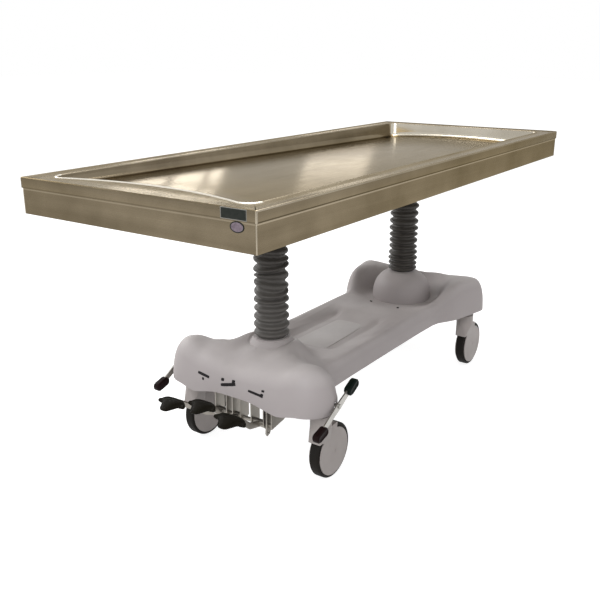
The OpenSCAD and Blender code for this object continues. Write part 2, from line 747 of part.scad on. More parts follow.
// Dome round the rear column: a superellipse turned about the column, with a flat seat on top
function dome_profile(radius, height, seat) = [for (k = [0:12]) let (a = asin(seat / radius) +
    (90 - asin(seat / radius)) * k / 12)
    [radius * pow(sin(a), 0.8), height * pow(cos(a), 0.8)]];

module rear_dome() {
    rise = dome_top - hollow_height + dome_seat;
    outer = dome_profile(dome_radius, rise + 3, 38);
    inner = dome_profile(dome_radius - cover_wall, rise + 3 - cover_wall, 36);
    color(cover_colour) translate([column_x[1], 0, hollow_height - dome_seat]) difference() {
        rotate_extrude() intersection() {
            polygon(concat([[0, outer[0][1]]], outer, [[0, 0]]));
            square([dome_radius + 1, rise]);
        }
        rotate_extrude() polygon(concat([[0, inner[0][1]]], inner, [[dome_radius - cover_wall, -1], [0, -1]]));
        translate([0, 0, rise - 20]) cylinder(r = tube_radius + 2, h = 40);
    }
}

// Ring between the front tube and the cover, which carries the front bellows
module front_collar() {
    color(cover_colour) translate([column_x[0], 0, 0]) difference() {
        union() {
            translate([0, 0, mound_height - dome_seat])
                cylinder(r1 = collar_foot_radius, r2 = fold_radius + 4, h = collar_rise - 4);
            translate([0, 0, mound_height - cover_wall - 8]) cylinder(r = fold_radius + 8, h = 7.5);
            translate([0, 0, mound_height - cover_wall - 4])
                cylinder(r = fold_radius + 3, h = collar_top_z - mound_height + cover_wall + 4);
        }
        translate([0, 0, mound_height - 100]) cylinder(r = tube_radius + 0.2, h = 200);
    }
}

function track_at(x) = x == front_axis_x ? front_track : rear_track;
rail_from = front_axis_x + beam_width / 2;
rail_to = rear_axis_x - beam_width / 2;

module chassis_rails() {
    color(grey_paint) for (s = [-1, 1])
        translate([(rail_from + rail_to) / 2, s * chassis_rail_pitch / 2, chassis_foot + chassis_rail_height / 2])
            box_tube(rail_to - rail_from, chassis_rail_width, chassis_rail_height, chassis_wall);
}

socket_radius = stem_radius + socket_wall;

module cross_beam(x) {
    translate([x, 0, chassis_foot + beam_height / 2]) difference() {
        rotate(90) box_tube(track_at(x) + 66, beam_width, beam_height, chassis_wall);
        for (s = [-1, 1]) translate([0, s * track_at(x) / 2, 0])
            cylinder(r = socket_radius + 0.2, h = 2 * beam_height, center = true);
    }
}

module front_beam() {
    color(grey_paint) cross_beam(front_axis_x);
}

module rear_beam() {
    color(grey_paint) cross_beam(rear_axis_x);
}

// Sockets that take the casters' stems. The brake shaft passes through the front pair.
socket_foot = neck_top + swivel_gap;
socket_top = chassis_foot + beam_height + 8;

module caster_sockets() {
    color(grey_paint) for (x = [front_axis_x, rear_axis_x]) for (s = [-1, 1])
        translate([x, s * track_at(x) / 2, 0]) difference() {
            union() {
                translate([0, 0, socket_foot]) cylinder(r = socket_radius, h = socket_top - socket_foot);
                translate([0, 0, socket_foot]) cylinder(r = socket_radius + 8, h = chassis_foot - socket_foot);
            }
            translate([0, 0, socket_foot - 1])
                cylinder(r = stem_radius + running_gap, h = socket_top - socket_foot - 4);
            if (x == front_axis_x)
                translate([0, 0, brake_shaft_height]) rotate([90, 0, 0])
                    cylinder(r = brake_shaft_radius + running_gap, h = 4 * socket_radius, center = true);
        }
}

module column_plates() {
    color(grey_paint) for (x = column_x)
        difference() {
            translate([x - 54, -chassis_rail_pitch / 2 - chassis_rail_width / 2, chassis_top_z])
                cube([108, chassis_rail_pitch + chassis_rail_width, column_plate]);
            translate([x, 0, chassis_top_z - 1]) cylinder(r = tube_radius + 0.2, h = column_plate + 2);
        }
}

module column_tube(top) {
    difference() {
        union() {
            translate([0, 0, tube_foot]) cylinder(r = tube_radius, h = top - tube_foot);
            translate([0, 0, column_plate_top_z]) cylinder(r = tube_radius + 13, h = 9);
        }
        translate([0, 0, tube_foot + 8]) cylinder(r = tube_radius - tube_wall, h = top);
    }
}

module front_column_tube() {
    color(zinc_colour) translate([column_x[0], 0, 0]) column_tube(front_tube_top);
}

module rear_column_tube() {
    color(zinc_colour) translate([column_x[1], 0, 0]) column_tube(rear_tube_top);
}

module bush(inner, outer, top) {
    difference() {
        translate([0, 0, top - bush_length]) cylinder(r = outer - 0.05, h = bush_length);
        translate([0, 0, top - bush_length - 1]) cylinder(r = inner + running_gap, h = bush_length + 2);
    }
}

module guide_bushes() {
    bore = tube_radius - tube_wall;
    color([0.75, 0.6, 0.35]) {
        translate([column_x[0], 0, 0]) bush(front_ram_radius, bore, front_tube_top);
        translate([column_x[1], 0, 0]) bush(mid_radius, bore, rear_tube_top);
    }
}

// Pump between the chassis rails, with its oil tank behind it
pump_x = column_x[0] + 110;
pump_length = 100;
tank_radius = 33;
tank_length = 170;
pump_half_y = chassis_rail_pitch / 2 - chassis_rail_width / 2 - 8;

module pump_unit() {
    plate_half_y = chassis_rail_pitch / 2 + chassis_rail_width / 2;
    color(zinc_colour) {
        translate([pump_x, -plate_half_y, chassis_foot - 5]) cube([pump_length + tank_length, 2 * plate_half_y, 5]);
        translate([pump_x, -pump_half_y, chassis_foot]) cube([pump_length, 2 * pump_half_y, 24]);
        translate([pump_x + 10, -40, 200]) cube([pump_length - 20, 80, chassis_foot - 205]);
        for (y = [-22, 22]) translate([pump_x - 8, y, 220]) rotate([0, 90, 0]) cylinder(r = 11, h = 20);
    }
    color(dark_rubber) translate([pump_x + pump_length, 0, chassis_foot - 5 - tank_radius]) rotate([0, 90, 0])
        cylinder(r = tank_radius, h = tank_length);
}

// Pressure lines from the pump to the feet of both columns
line_radius = 4;
front_line_y = 22;
front_line_start = sqrt(pow(tube_radius, 2) - pow(front_line_y - line_radius, 2)) + 0.1;

module hydraulic_lines() {
    color(zinc_colour) {
        translate([column_x[0] + front_line_start, front_line_y, 220]) rotate([0, 90, 0])
            cylinder(r = line_radius, h = pump_x - 8 - column_x[0] - front_line_start);
        translate([pump_x + pump_length + tank_length, 0, 205]) rotate([0, 90, 0]) {
            cylinder(r = line_radius, h = column_x[1] - tube_radius - pump_x - pump_length - tank_length);
            cylinder(r = 9, h = 12, $fn = 6);
        }
    }
}

// Hangers below the front beam that carry the pedal shaft, and the pump's link at the near end
pedal_x = cover_front_x + pedal_shaft_inset;
link_y = pedal_hubs[2] - hanger_half_width[2] - 8;
side_plate_y = link_y - 14;

module hanger_outline() {
    front = pedal_x - 16;
    difference() {
        union() {
            translate([front, pedal_shaft_height]) square([42, chassis_foot - 3 - pedal_shaft_height]);
            translate([pedal_x, pedal_shaft_height]) circle(r = 13);
            translate([pedal_x, pedal_shaft_height - 8]) square([20, 10]);
        }
        translate([pedal_x, pedal_shaft_height]) circle(r = pedal_shaft_radius + running_gap);
    }
}

// A plate across the table at y, with its thickness centred there
module plate_at(y, thickness) {
    translate([0, y, 0]) rotate([90, 0, 0]) linear_extrude(thickness, center = true) children();
}

module pedal_hangers() {
    plate_front = pedal_x - 18;
    top_y = pedal_hubs[0] + hanger_half_width[0];
    color(zinc_colour) {
        for (k = [0:2]) for (s = [-1, 1])
            plate_at(pedal_hubs[k] + s * (hanger_half_width[k] - hanger_plate / 2), hanger_plate)
                hanger_outline();
        translate([plate_front, side_plate_y - 2, chassis_foot - 4])
            cube([front_axis_x - plate_front, top_y - side_plate_y + 2, 4]);
        plate_at(link_y, 5) difference() {
            polygon([
                [pedal_x - 14, chassis_foot - 3], [pedal_x + 14, chassis_foot - 3],
                [pedal_x + 14, pedal_shaft_height], [pedal_x, pedal_shaft_height - 26],
                [pedal_x - 12, pedal_shaft_height - 31], [pedal_x - 17, pedal_shaft_height - 22],
                [pedal_x - 14, pedal_shaft_height + 10]
            ]);
            translate([pedal_x - 7, pedal_shaft_height - 18]) circle(r = 4);
            translate([pedal_x, pedal_shaft_height]) circle(r = pedal_shaft_radius + running_gap);
        }
        plate_at(side_plate_y, 4) polygon([
            [pedal_x - 8, chassis_foot - 3], [pedal_x + 62, chassis_foot - 3],
            [pedal_x + 62, pedal_shaft_height + 8], [pedal_x + 56, pedal_shaft_height + 3],
            [pedal_x - 8, pedal_shaft_height - 8]
        ]);
    }
}

module pedal_shaft() {
    from = side_plate_y + 2.3;
    to = pedal_hubs[0] + hanger_half_width[0] + 3;
    color(zinc_colour) translate([pedal_x, from, pedal_shaft_height]) rotate([-90, 0, 0])
        cylinder(r = pedal_shaft_radius, h = to - from);
}

// Cranked lever: a hub on the shaft, a bent flat bar and the tongue inside the pad
lever_bar = 8;
tongue_slack = 0.3;
module lever_station(dx, y, z, height, slack) {
    translate([pedal_x - dx, y, pedal_shaft_height + z])
        cube([lever_bar, lever_bar + 2 * slack, height + 2 * slack], center = true);
}

module lever_tongue(k, slack) {
    hull() {
        lever_station(pedal_reach[k] - pad_depth / 2 - 5, pedal_pads[k], pedal_rise[k] - 15, 16, slack);
        lever_station(pedal_reach[k] + 4 + slack, pedal_pads[k], pedal_rise[k] - 1, 6, slack);
    }
}

module pedal_lever(k) {
    hub_half = hanger_half_width[k] - hanger_plate - side_gap;
    bend_y = mix(pedal_hubs[k], pedal_pads[k], 0.35);
    color(zinc_colour) difference() {
        union() {
            translate([pedal_x, pedal_hubs[k], pedal_shaft_height]) rotate([90, 0, 0])
                cylinder(r = 12, h = 2 * hub_half, center = true);
            hull() {
                lever_station(6, pedal_hubs[k], -1, 16, 0);
                lever_station(55, bend_y, 12, 18, 0);
            }
            hull() {
                lever_station(55, bend_y, 12, 18, 0);
                lever_station(pedal_reach[k] - pad_depth / 2 - 5, pedal_pads[k], pedal_rise[k] - 15, 16, 0);
            }
            lever_tongue(k, 0);
        }
        translate([pedal_x, pedal_hubs[k], pedal_shaft_height]) rotate([90, 0, 0])
            cylinder(r = pedal_shaft_radius + running_gap, h = 4 * hub_half, center = true);
    }
}

// Rubber pad with two pointed wings and a drooping front lobe, skinned from wing tip to wing tip
pad_stations = 16;
function pad_back(u) = 0.4 * pad_depth * pow(1 - pow(abs(u), 2.2), 0.7);
function pad_lobe(u) = pad_depth * (0.12 * sqrt(1 - u * u) + 0.48 * smooth((0.56 - abs(u)) / 0.32));
function pad_height(u) = 2 + (pad_thickness / 2 - 2) * sqrt(1 - pow(abs(u), 2.4));
function pad_section(k, u) = let (
    middle = (pad_back(u) - pad_lobe(u)) / 2,
    half = (pad_back(u) + pad_lobe(u)) / 2 + 2)
    [for (i = [0:13]) let (a = 360 * i / 14, x = middle + half * cos(a))
        [pedal_x - pedal_reach[k] + x, pedal_pads[k] + pad_width[k] / 2 * u,
            pedal_shaft_height + pedal_rise[k] + pad_height(u) * sin(a)
            + pad_droop * min(x, 0) - 5 * u * u]];

module pedal_pad(k) {
    ease = 88;
    rings = [for (i = [0:pad_stations]) pad_section(k, sin(ease * (2 * i / pad_stations - 1)))];
    x = pedal_x - pedal_reach[k];
    z = pedal_shaft_height + pedal_rise[k] - 5;
    color(dark_rubber) difference() {
        skin([x, pedal_pads[k] - pad_width[k] / 2 - 1, z], rings,
            [x, pedal_pads[k] + pad_width[k] / 2 + 1, z]);
        lever_tongue(k, tongue_slack);
    }
}

module pedal_lever_far() { pedal_lever(0); }
module pedal_pad_far() { pedal_pad(0); }
module pedal_lever_middle() { pedal_lever(1); }
module pedal_pad_middle() { pedal_pad(1); }
module pedal_lever_near() { pedal_lever(2); }
module pedal_pad_near() { pedal_pad(2); }

// Brake shaft across the front beam, with a cam over each stem
rocker_y = shoulder_half_width + rocker_gap;

module brake_shaft() {
    color(zinc_colour) translate([front_axis_x, 0, brake_shaft_height]) rotate([90, 0, 0]) {
        cylinder(r = brake_shaft_radius, h = 2 * rocker_y, center = true);
        for (s = [-1, 1]) translate([1.5, 1.5, s * front_track / 2])
            cylinder(r = brake_shaft_radius + 1, h = 14, center = true);
    }
}

module rocker_arms() {
    color(zinc_colour) for (side = [0, 1]) mirror([0, side, 0])
        translate([front_axis_x, -rocker_y, brake_shaft_height]) rotate([90, 0, 0]) {
            linear_extrude(rocker_thickness) {
                hull() {
                    circle(r = rocker_radius[0]);
                    translate(0.8 * brake_pad_place) circle(r = rocker_radius[1]);
                }
                hull() {
                    circle(r = rocker_radius[0]);
                    translate(0.8 * steer_pad_place) circle(r = rocker_radius[1]);
                }
            }
            translate([0, 0, rocker_thickness]) cylinder(r = 7, h = 4);
        }
}

// Rubber pad on a rocker, a stadium seen from the side, hollowed for the arm's end
module rocker_pad(place, turn, side) {
    a = rocker_pad_length / 2 - rocker_pad_height / 2;
    mirror([0, side, 0]) translate([front_axis_x, -rocker_y - rocker_thickness / 2, brake_shaft_height])
        rotate([90, 0, 0]) difference() {
            translate(place) rotate(turn) hull() for (s = [-1, 1]) translate([s * a, 0, 0]) {
                cylinder(r = rocker_pad_height / 2, h = rocker_pad_width - 8, center = true, $fn = 32);
                cylinder(r = rocker_pad_height / 2 - 4, h = rocker_pad_width, center = true, $fn = 32);
            }
            linear_extrude(rocker_thickness + 0.2, center = true) hull() {
                circle(r = rocker_radius[0] + 0.1);
                translate(0.8 * place) circle(r = rocker_radius[1] + 0.1);
            }
        }
}

module brake_pads() {
    color(red_rubber) for (side = [0, 1]) rocker_pad(brake_pad_place, rocker_pad_turn[0], side);
}

module steer_pads() {
    color(green_rubber) for (side = [0, 1]) rocker_pad(steer_pad_place, rocker_pad_turn[1], side);
}

// Caster: its swivel axis is at the origin, and the wheel trails towards +X
pocket_half = tyre_width / 2 + wheel_gap;
hood_radius = wheel_radius + wheel_gap + 3;

module wheel_axis_up() {
    translate([caster_trail, 0, wheel_radius]) rotate([90, 0, 0]) children();
}

module caster_housing() {
    disc_y = pocket_half + disc_thickness;
    color(cover_colour) difference() {
        union() {
            wheel_axis_up() translate([-cheek_shift, 0, 0])
                cylinder(r = cheek_radius, h = 2 * disc_y, center = true);
            wheel_axis_up() rotate_extrude(angle = 60, start = 82)
                translate([wheel_radius - 16, -disc_y]) square([hood_radius - wheel_radius + 16, 2 * disc_y]);
            hull() {
                translate([0, 0, neck_top - 44]) cylinder(r = neck_radius, h = 1, $fn = 32);
                translate([caster_trail - hood_radius + 9, -disc_y, 140]) cube([58, 2 * disc_y, 1]);
            }
            translate([0, 0, neck_top - 44]) cylinder(r = neck_radius, h = 40);
            translate([0, 0, neck_top - 4.01]) cylinder(r = neck_radius - 4, h = 4.01);
            cylinder_from(neck_top - 1, brake_shaft_height - brake_shaft_radius - 6, stem_radius);
        }
        wheel_axis_up() cylinder(r = wheel_radius + wheel_gap, h = 2 * pocket_half, center = true);
        wheel_axis_up() cylinder(r = axle_radius + 0.05, h = 4 * disc_y, center = true);
    }
}

module cylinder_from(z0, z1, r) {
    translate([0, 0, z0]) cylinder(r = r, h = z1 - z0);
}

module caster_axle() {
    color(zinc_colour) wheel_axis_up()
        cylinder(r = axle_radius, h = 2 * (pocket_half + disc_thickness) - 1, center = true);
}

module wheel_tyre() {
    shoulder = 5;
    half = tyre_width / 2;
    color(dark_rubber) wheel_axis_up() rotate_extrude() difference() {
        union() {
            translate([wheel_radius - tyre_depth, -half]) square([tyre_depth - shoulder, tyre_width]);
            translate([wheel_radius - tyre_depth, shoulder - half]) square([tyre_depth, tyre_width - 2 * shoulder]);
            for (s = [-1, 1]) translate([wheel_radius - shoulder, s * (half - shoulder)]) circle(r = shoulder);
        }
    }
}

module wheel_centre() {
    half = tyre_width / 2 - 1;
    rim_r = wheel_radius - tyre_depth - 0.05;
    color(cover_colour) wheel_axis_up() rotate_extrude() polygon([
        [axle_radius + running_gap, -half], [18, -half], [20, 4 - half], [20, -4], [rim_r - 8, -4],
        [rim_r - 6, -half], [rim_r, -half], [rim_r, half], [rim_r - 6, half], [rim_r - 8, 4],
        [20, 4], [20, half - 4], [18, half], [axle_radius + running_gap, half]
    ]);
}

module at_caster(front, far) {
    x = front ? front_axis_x : rear_axis_x;
    translate([x, (far ? 1 : -1) * track_at(x) / 2, 0]) children();
}

module caster_housing_front_near() { at_caster(true, false) caster_housing(); }
module caster_axle_front_near() { at_caster(true, false) caster_axle(); }
module wheel_tyre_front_near() { at_caster(true, false) wheel_tyre(); }
module wheel_centre_front_near() { at_caster(true, false) wheel_centre(); }
module caster_housing_front_far() { at_caster(true, true) caster_housing(); }
module caster_axle_front_far() { at_caster(true, true) caster_axle(); }
module wheel_tyre_front_far() { at_caster(true, true) wheel_tyre(); }
module wheel_centre_front_far() { at_caster(true, true) wheel_centre(); }
module caster_housing_rear_near() { at_caster(false, false) caster_housing(); }
module caster_axle_rear_near() { at_caster(false, false) caster_axle(); }
module wheel_tyre_rear_near() { at_caster(false, false) wheel_tyre(); }
module wheel_centre_rear_near() { at_caster(false, false) wheel_centre(); }
module caster_housing_rear_far() { at_caster(false, true) caster_housing(); }
module caster_axle_rear_far() { at_caster(false, true) caster_axle(); }
module wheel_tyre_rear_far() { at_caster(false, true) wheel_tyre(); }
module wheel_centre_rear_far() { at_caster(false, true) wheel_centre(); }

tray_basin();
skirt_sides();
skirt_ends();
tray_rails();
cross_bearers();
drain_outlet();
front_pivot_bracket();
rear_slot_bracket();
front_pivot_pin();
front_ram();
front_head();
rear_mid_stage();
rear_ram();
rear_head();
rear_slide_pin();
front_bellows();
rear_bellows_lower();
rear_bellows_upper();
base_cover();
rear_dome();
front_collar();
chassis_rails();
front_beam();
rear_beam();
column_plates();
front_column_tube();
rear_column_tube();
guide_bushes();
caster_sockets();
pump_unit();
hydraulic_lines();
pedal_hangers();
pedal_shaft();
pedal_lever_far();
pedal_pad_far();
pedal_lever_middle();
pedal_pad_middle();
pedal_lever_near();
pedal_pad_near();
brake_shaft();
rocker_arms();
brake_pads();
steer_pads();
caster_housing_front_near();
caster_axle_front_near();
wheel_tyre_front_near();
wheel_centre_front_near();
caster_housing_front_far();
caster_axle_front_far();
wheel_tyre_front_far();
wheel_centre_front_far();
caster_housing_rear_near();
caster_axle_rear_near();
wheel_tyre_rear_near();
wheel_centre_rear_near();
caster_housing_rear_far();
caster_axle_rear_far();
wheel_tyre_rear_far();
wheel_centre_rear_far();
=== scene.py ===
import json
import math
import random

import bpy
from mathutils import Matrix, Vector

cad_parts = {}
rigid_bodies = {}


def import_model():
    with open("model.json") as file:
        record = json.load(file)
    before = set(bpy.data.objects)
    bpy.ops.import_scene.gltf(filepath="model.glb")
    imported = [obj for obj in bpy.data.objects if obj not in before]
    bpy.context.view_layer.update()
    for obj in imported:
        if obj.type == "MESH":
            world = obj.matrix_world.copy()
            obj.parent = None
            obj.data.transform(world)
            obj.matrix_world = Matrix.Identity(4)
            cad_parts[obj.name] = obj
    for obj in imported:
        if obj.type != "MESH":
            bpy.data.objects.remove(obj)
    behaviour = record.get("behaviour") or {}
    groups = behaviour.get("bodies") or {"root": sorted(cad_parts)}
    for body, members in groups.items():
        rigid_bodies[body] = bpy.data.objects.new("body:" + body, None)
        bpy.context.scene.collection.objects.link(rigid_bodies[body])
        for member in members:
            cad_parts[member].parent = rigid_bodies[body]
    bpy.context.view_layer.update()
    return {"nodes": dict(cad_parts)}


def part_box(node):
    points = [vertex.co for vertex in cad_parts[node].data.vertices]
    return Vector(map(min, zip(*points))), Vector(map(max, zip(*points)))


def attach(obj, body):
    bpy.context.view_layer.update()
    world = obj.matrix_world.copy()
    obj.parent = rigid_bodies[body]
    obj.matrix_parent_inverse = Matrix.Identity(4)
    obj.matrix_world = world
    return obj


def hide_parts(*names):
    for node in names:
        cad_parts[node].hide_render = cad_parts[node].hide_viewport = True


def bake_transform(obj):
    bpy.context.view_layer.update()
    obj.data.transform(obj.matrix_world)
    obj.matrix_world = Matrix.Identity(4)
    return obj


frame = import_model()
nodes = frame["nodes"]
scene = bpy.context.scene


# ---------------------------------------------------------------- places and sizes, in metres

FRONT_COLUMN_X = -0.429
REAR_COLUMN_X = 0.451
STAGE_RING_INSIDE = 0.040    # the rear mid stage's ring lies outside this radius

TRAY_END_X = -1.007
TRAY_HALF_WIDTH = 0.400
TRAY_SHEET = 0.002
TRAY_CORNER = 0.0022
CORNER_FROM_X, CORNER_FROM_Y = 1.004, 0.397
BAND_FROM_X, BAND_FROM_Y = 0.998, 0.391
BAND_HEIGHT = 0.029
RIM_Z = 0.935
RIM_EDGE = 0.0045
RIM_HOLLOW = 0.0026
RIM_ROLL = 0.0042
BOW_END_X = -0.84
END_WALL_FROM_X = 0.9
SKIRT_SETBACK = 0.004
WELD_RADIUS = 0.0018
SMALL_ROUND = 0.0008

COVER_TOP_FROM_Z = 0.22
COVER_FRONT_X = -0.636
VALLEY_DEPTH = 0.030
SADDLE_FILL = 0.019
LIP_FILL = 0.013
SHOULDER_RISE = 0.018
PANEL_PLACE = (-0.0930, -0.004, 0.2922)
PANEL_SIZE = (0.334, 0.134, 0.010)
PANEL_REAR_WIDTH = 0.114
PANEL_CORNER = 0.014

PAD_TAPER, PAD_TAPER_CURVE = 0.62, 1.7
PAD_BORDER = 0.30
PAD_DISH = 0.006
RUBBER_RING_IN = 0.0030
RUBBER_RING_WIDTH = 0.0010
RUBBER_RING_DEPTH = 0.0020
RUBBER_ROUND = 0.0012

FOLD_RADIUS = 0.055
VALLEY_RADIUS = 0.0455
CREST_STAND = 0.0034
CREST_SPREAD = 0.0022
VALLEY_SPREAD = 0.001
RUBBER_WALL = 0.0015
LEAN = 0.030                 # slope of a leaning fold
OVAL = 0.018                 # how much a fold is pressed out of round
SAG, SAG_PLACE, SAG_REACH = 4.2, 0.44, 0.15    # more lean low in a slack sleeve: most, where, reach

MERGE_DISTANCE = 0.00002


# ---------------------------------------------------------------- small helpers for the bench

def deselect_all():
    for obj in list(bpy.context.selected_objects):
        obj.select_set(False)


def pick(obj):
    deselect_all()
    obj.select_set(True)
    bpy.context.view_layer.objects.active = obj


def open_mesh(obj):
    """Opens the mesh with all of it selected."""
    open_selected(obj, "VERT")
    bpy.ops.mesh.select_all(action="SELECT")


def open_selected(obj, kind):
    """Opens the mesh with what was selected in object mode."""
    pick(obj)
    bpy.ops.object.mode_set(mode="EDIT")
    bpy.ops.mesh.select_mode(type=kind)


def close_mesh():
    bpy.ops.object.mode_set(mode="OBJECT")


def place_in_mesh(obj):
    pick(obj)
    bpy.ops.object.transform_apply(location=True, rotation=True, scale=True)


def apply_modifier(obj, kind, **settings):
    pick(obj)
    modifier = obj.modifiers.new(kind.lower(), kind)
    for name, value in settings.items():
        setattr(modifier, name, value)
    bpy.ops.object.modifier_apply(modifier=modifier.name)


def round_edges(obj, width, angle=60):
    """Rounds the edges that turn by more than the angle, in degrees."""
    apply_modifier(obj, "BEVEL", width=width, segments=2, limit_method="ANGLE",
                   angle_limit=math.radians(angle))


def clear_selection(obj):
    for part in (obj.data.vertices, obj.data.edges, obj.data.polygons):
        part.foreach_set("select", [False] * len(part))


def select_faces(obj, test):
    """Selects the faces whose centre and normal pass the test, from object mode."""
    clear_selection(obj)
    for face in obj.data.polygons:
        if test(face.center, face.normal):
            face.select = True


def select_edges(obj, test):
    """Selects the edges whose two ends pass the test, from object mode."""
    clear_selection(obj)
    points = obj.data.vertices
    for edge in obj.data.edges:
        if test(*(points[index].co for index in edge.vertices)):
            edge.select = True


def selected_faces(obj):
    return [face.index for face in obj.data.polygons if face.select]


def new_piece(name, operator, **settings):
    """Adds a primitive with nothing else selected, and names it and its mesh."""
    deselect_all()
    operator(**settings)
    obj = bpy.context.view_layer.objects.active
    obj.name = name
    obj.data.name = name
    return obj


def finish_piece(obj, material, body, smooth_angle=40):
    """Gives a modelled piece its finish and its body, with its place in its mesh."""
    place_in_mesh(obj)
    if smooth_angle:
        bpy.ops.object.shade_smooth_by_angle(angle=math.radians(smooth_angle))
    obj.data.materials.clear()
    obj.data.materials.append(material)
    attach(obj, body)


def flat_box(name, centre, size):
    """A plate before its edges are rounded: a cube scaled to its size."""
    obj = new_piece(name, bpy.ops.mesh.primitive_cube_add, size=1, location=centre)
    obj.scale = size
    place_in_mesh(obj)
    return obj


# ---------------------------------------------------------------- shared surface effects

MIX_FACTOR, MIX_FIRST, MIX_SECOND, MIX_RESULT = 0, 6, 7, 2    # a colour mix node's sockets


def new_group(name, inputs, outputs):
    """An empty group: inputs have a label, a kind and a value, outputs a label and a kind."""
    tree = bpy.data.node_groups.new(name, "ShaderNodeTree")
    for label, kind, value in inputs:
        socket = tree.interface.new_socket(name=label, in_out="INPUT", socket_type=kind)
        if value is not None:
            socket.default_value = value
    for label, kind in outputs:
        tree.interface.new_socket(name=label, in_out="OUTPUT", socket_type=kind)
    entry = tree.nodes.new("NodeGroupInput")
    leave = tree.nodes.new("NodeGroupOutput")
    return tree, entry, leave


def add(tree, kind, **settings):
    node = tree.nodes.new(kind)
    for name, value in settings.items():
        setattr(node, name, value)
    return node


def math_node(tree, operation, first, second, clamp=False):
    node = add(tree, "ShaderNodeMath", operation=operation, use_clamp=clamp)
    for socket, value in ((node.inputs[0], first), (node.inputs[1], second)):
        if isinstance(value, (int, float)):
            socket.default_value = value
        else:
            tree.links.new(value, socket)
    return node.outputs[0]


def noise_node(tree, vector, scale, detail, roughness):
    node = add(tree, "ShaderNodeTexNoise")
    node.inputs["Detail"].default_value = detail
    node.inputs["Roughness"].default_value = roughness
    if isinstance(scale, (int, float)):
        node.inputs["Scale"].default_value = scale
    else:
        tree.links.new(scale, node.inputs["Scale"])
    tree.links.new(vector, node.inputs["Vector"])
    return node.outputs["Fac"]


def range_node(tree, value, low, high, to_low=0.0, to_high=1.0):
    node = add(tree, "ShaderNodeMapRange", clamp=True)
    tree.links.new(value, node.inputs["Value"])
    for label, number in (("From Min", low), ("From Max", high),
                          ("To Min", to_low), ("To Max", to_high)):
        node.inputs[label].default_value = number
    return node.outputs["Result"]


def bump_normal(tree, height, strength, distance):
    bump = add(tree, "ShaderNodeBump")
    bump.inputs["Distance"].default_value = distance
    tree.links.new(height, bump.inputs["Height"])
    tree.links.new(strength, bump.inputs["Strength"])
    return bump.outputs["Normal"]


def build_brushed_grain():
    """Long scratches of a sheet polished in one direction, fine ones and broad bands."""
    tree, entry, leave = new_group(
        "brushed grain",
        [("Position", "NodeSocketVector", None), ("Stretch", "NodeSocketVector", (1, 1, 1)),
         ("Depth", "NodeSocketFloat", 0.1)],
        [("Fine", "NodeSocketFloat"), ("Broad", "NodeSocketFloat"), ("Normal", "NodeSocketVector")])
    spread = add(tree, "ShaderNodeVectorMath", operation="MULTIPLY")
    tree.links.new(entry.outputs["Position"], spread.inputs[0])
    tree.links.new(entry.outputs["Stretch"], spread.inputs[1])
    fine = noise_node(tree, spread.outputs[0], scale=9.0, detail=5.0, roughness=0.7)
    broad = noise_node(tree, spread.outputs[0], scale=1.1, detail=3.0, roughness=0.6)
    normal = bump_normal(tree, fine, entry.outputs["Depth"], distance=0.0004)
    tree.links.new(fine, leave.inputs["Fine"])
    tree.links.new(broad, leave.inputs["Broad"])
    tree.links.new(normal, leave.inputs["Normal"])
    return tree


def build_smudges():
    """Soft uneven patches that handling and wiping leave on a surface; on brushed steel they also
    serve as painted reflection.
    """
    tree, entry, leave = new_group(
        "smudges",
        [("Position", "NodeSocketVector", None), ("Size", "NodeSocketFloat", 6.0),
         ("Contrast", "NodeSocketFloat", 0.5)],
        [("Mask", "NodeSocketFloat")])
    wide = noise_node(tree, entry.outputs["Position"], entry.outputs["Size"],
                      detail=4.0, roughness=0.6)
    centred = math_node(tree, "SUBTRACT", wide, 0.5)
    spread = math_node(tree, "MULTIPLY", centred, entry.outputs["Contrast"])
    tree.links.new(math_node(tree, "ADD", spread, 0.5, clamp=True), leave.inputs["Mask"])
    return tree


def build_mould_grain():
    """Fine pebbled skin of a moulding or of sprayed paint."""
    tree, entry, leave = new_group(
        "mould grain",
        [("Position", "NodeSocketVector", None), ("Scale", "NodeSocketFloat", 900.0),
         ("Depth", "NodeSocketFloat", 0.1)],
        [("Normal", "NodeSocketVector")])
    fine = noise_node(tree, entry.outputs["Position"], entry.outputs["Scale"],
                      detail=2.0, roughness=0.5)
    normal = bump_normal(tree, fine, entry.outputs["Depth"], distance=0.0003)
    tree.links.new(normal, leave.inputs["Normal"])
    return tree


GRAIN = build_brushed_grain()
SMUDGES = build_smudges()
MOULD = build_mould_grain()


def new_material(name):
    material = bpy.data.materials.new(name)
    material.use_nodes = True
    tree = material.node_tree
    shader = tree.nodes["Principled BSDF"]
    position = add(tree, "ShaderNodeTexCoord").outputs["Object"]
    return material, tree, shader, position


def use_group(tree, group, position, **values):
    node = add(tree, "ShaderNodeGroup")
    node.node_tree = group
    tree.links.new(position, node.inputs["Position"])
    for label, value in values.items():
        node.inputs[label].default_value = value
    return node.outputs


def mix_colours(tree, factor, first, second):
    node = add(tree, "ShaderNodeMix", data_type="RGBA", clamp_factor=True)
    tree.links.new(factor, node.inputs[MIX_FACTOR])
    for socket, value in ((node.inputs[MIX_FIRST], first), (node.inputs[MIX_SECOND], second)):
        if isinstance(value, tuple):
            socket.default_value = (*value, 1.0)
        else:
            tree.links.new(value, socket)
    return node.outputs[MIX_RESULT]


STEEL_GLANCING = (0.62, 0.57, 0.48, 1.0)
DUST_AND_TOP_LIGHT_FROM, DUST_AND_TOP_LIGHT_AMOUNT = 0.35, 0.9    # how far a surface faces up where the dust and painted top light start, and their most
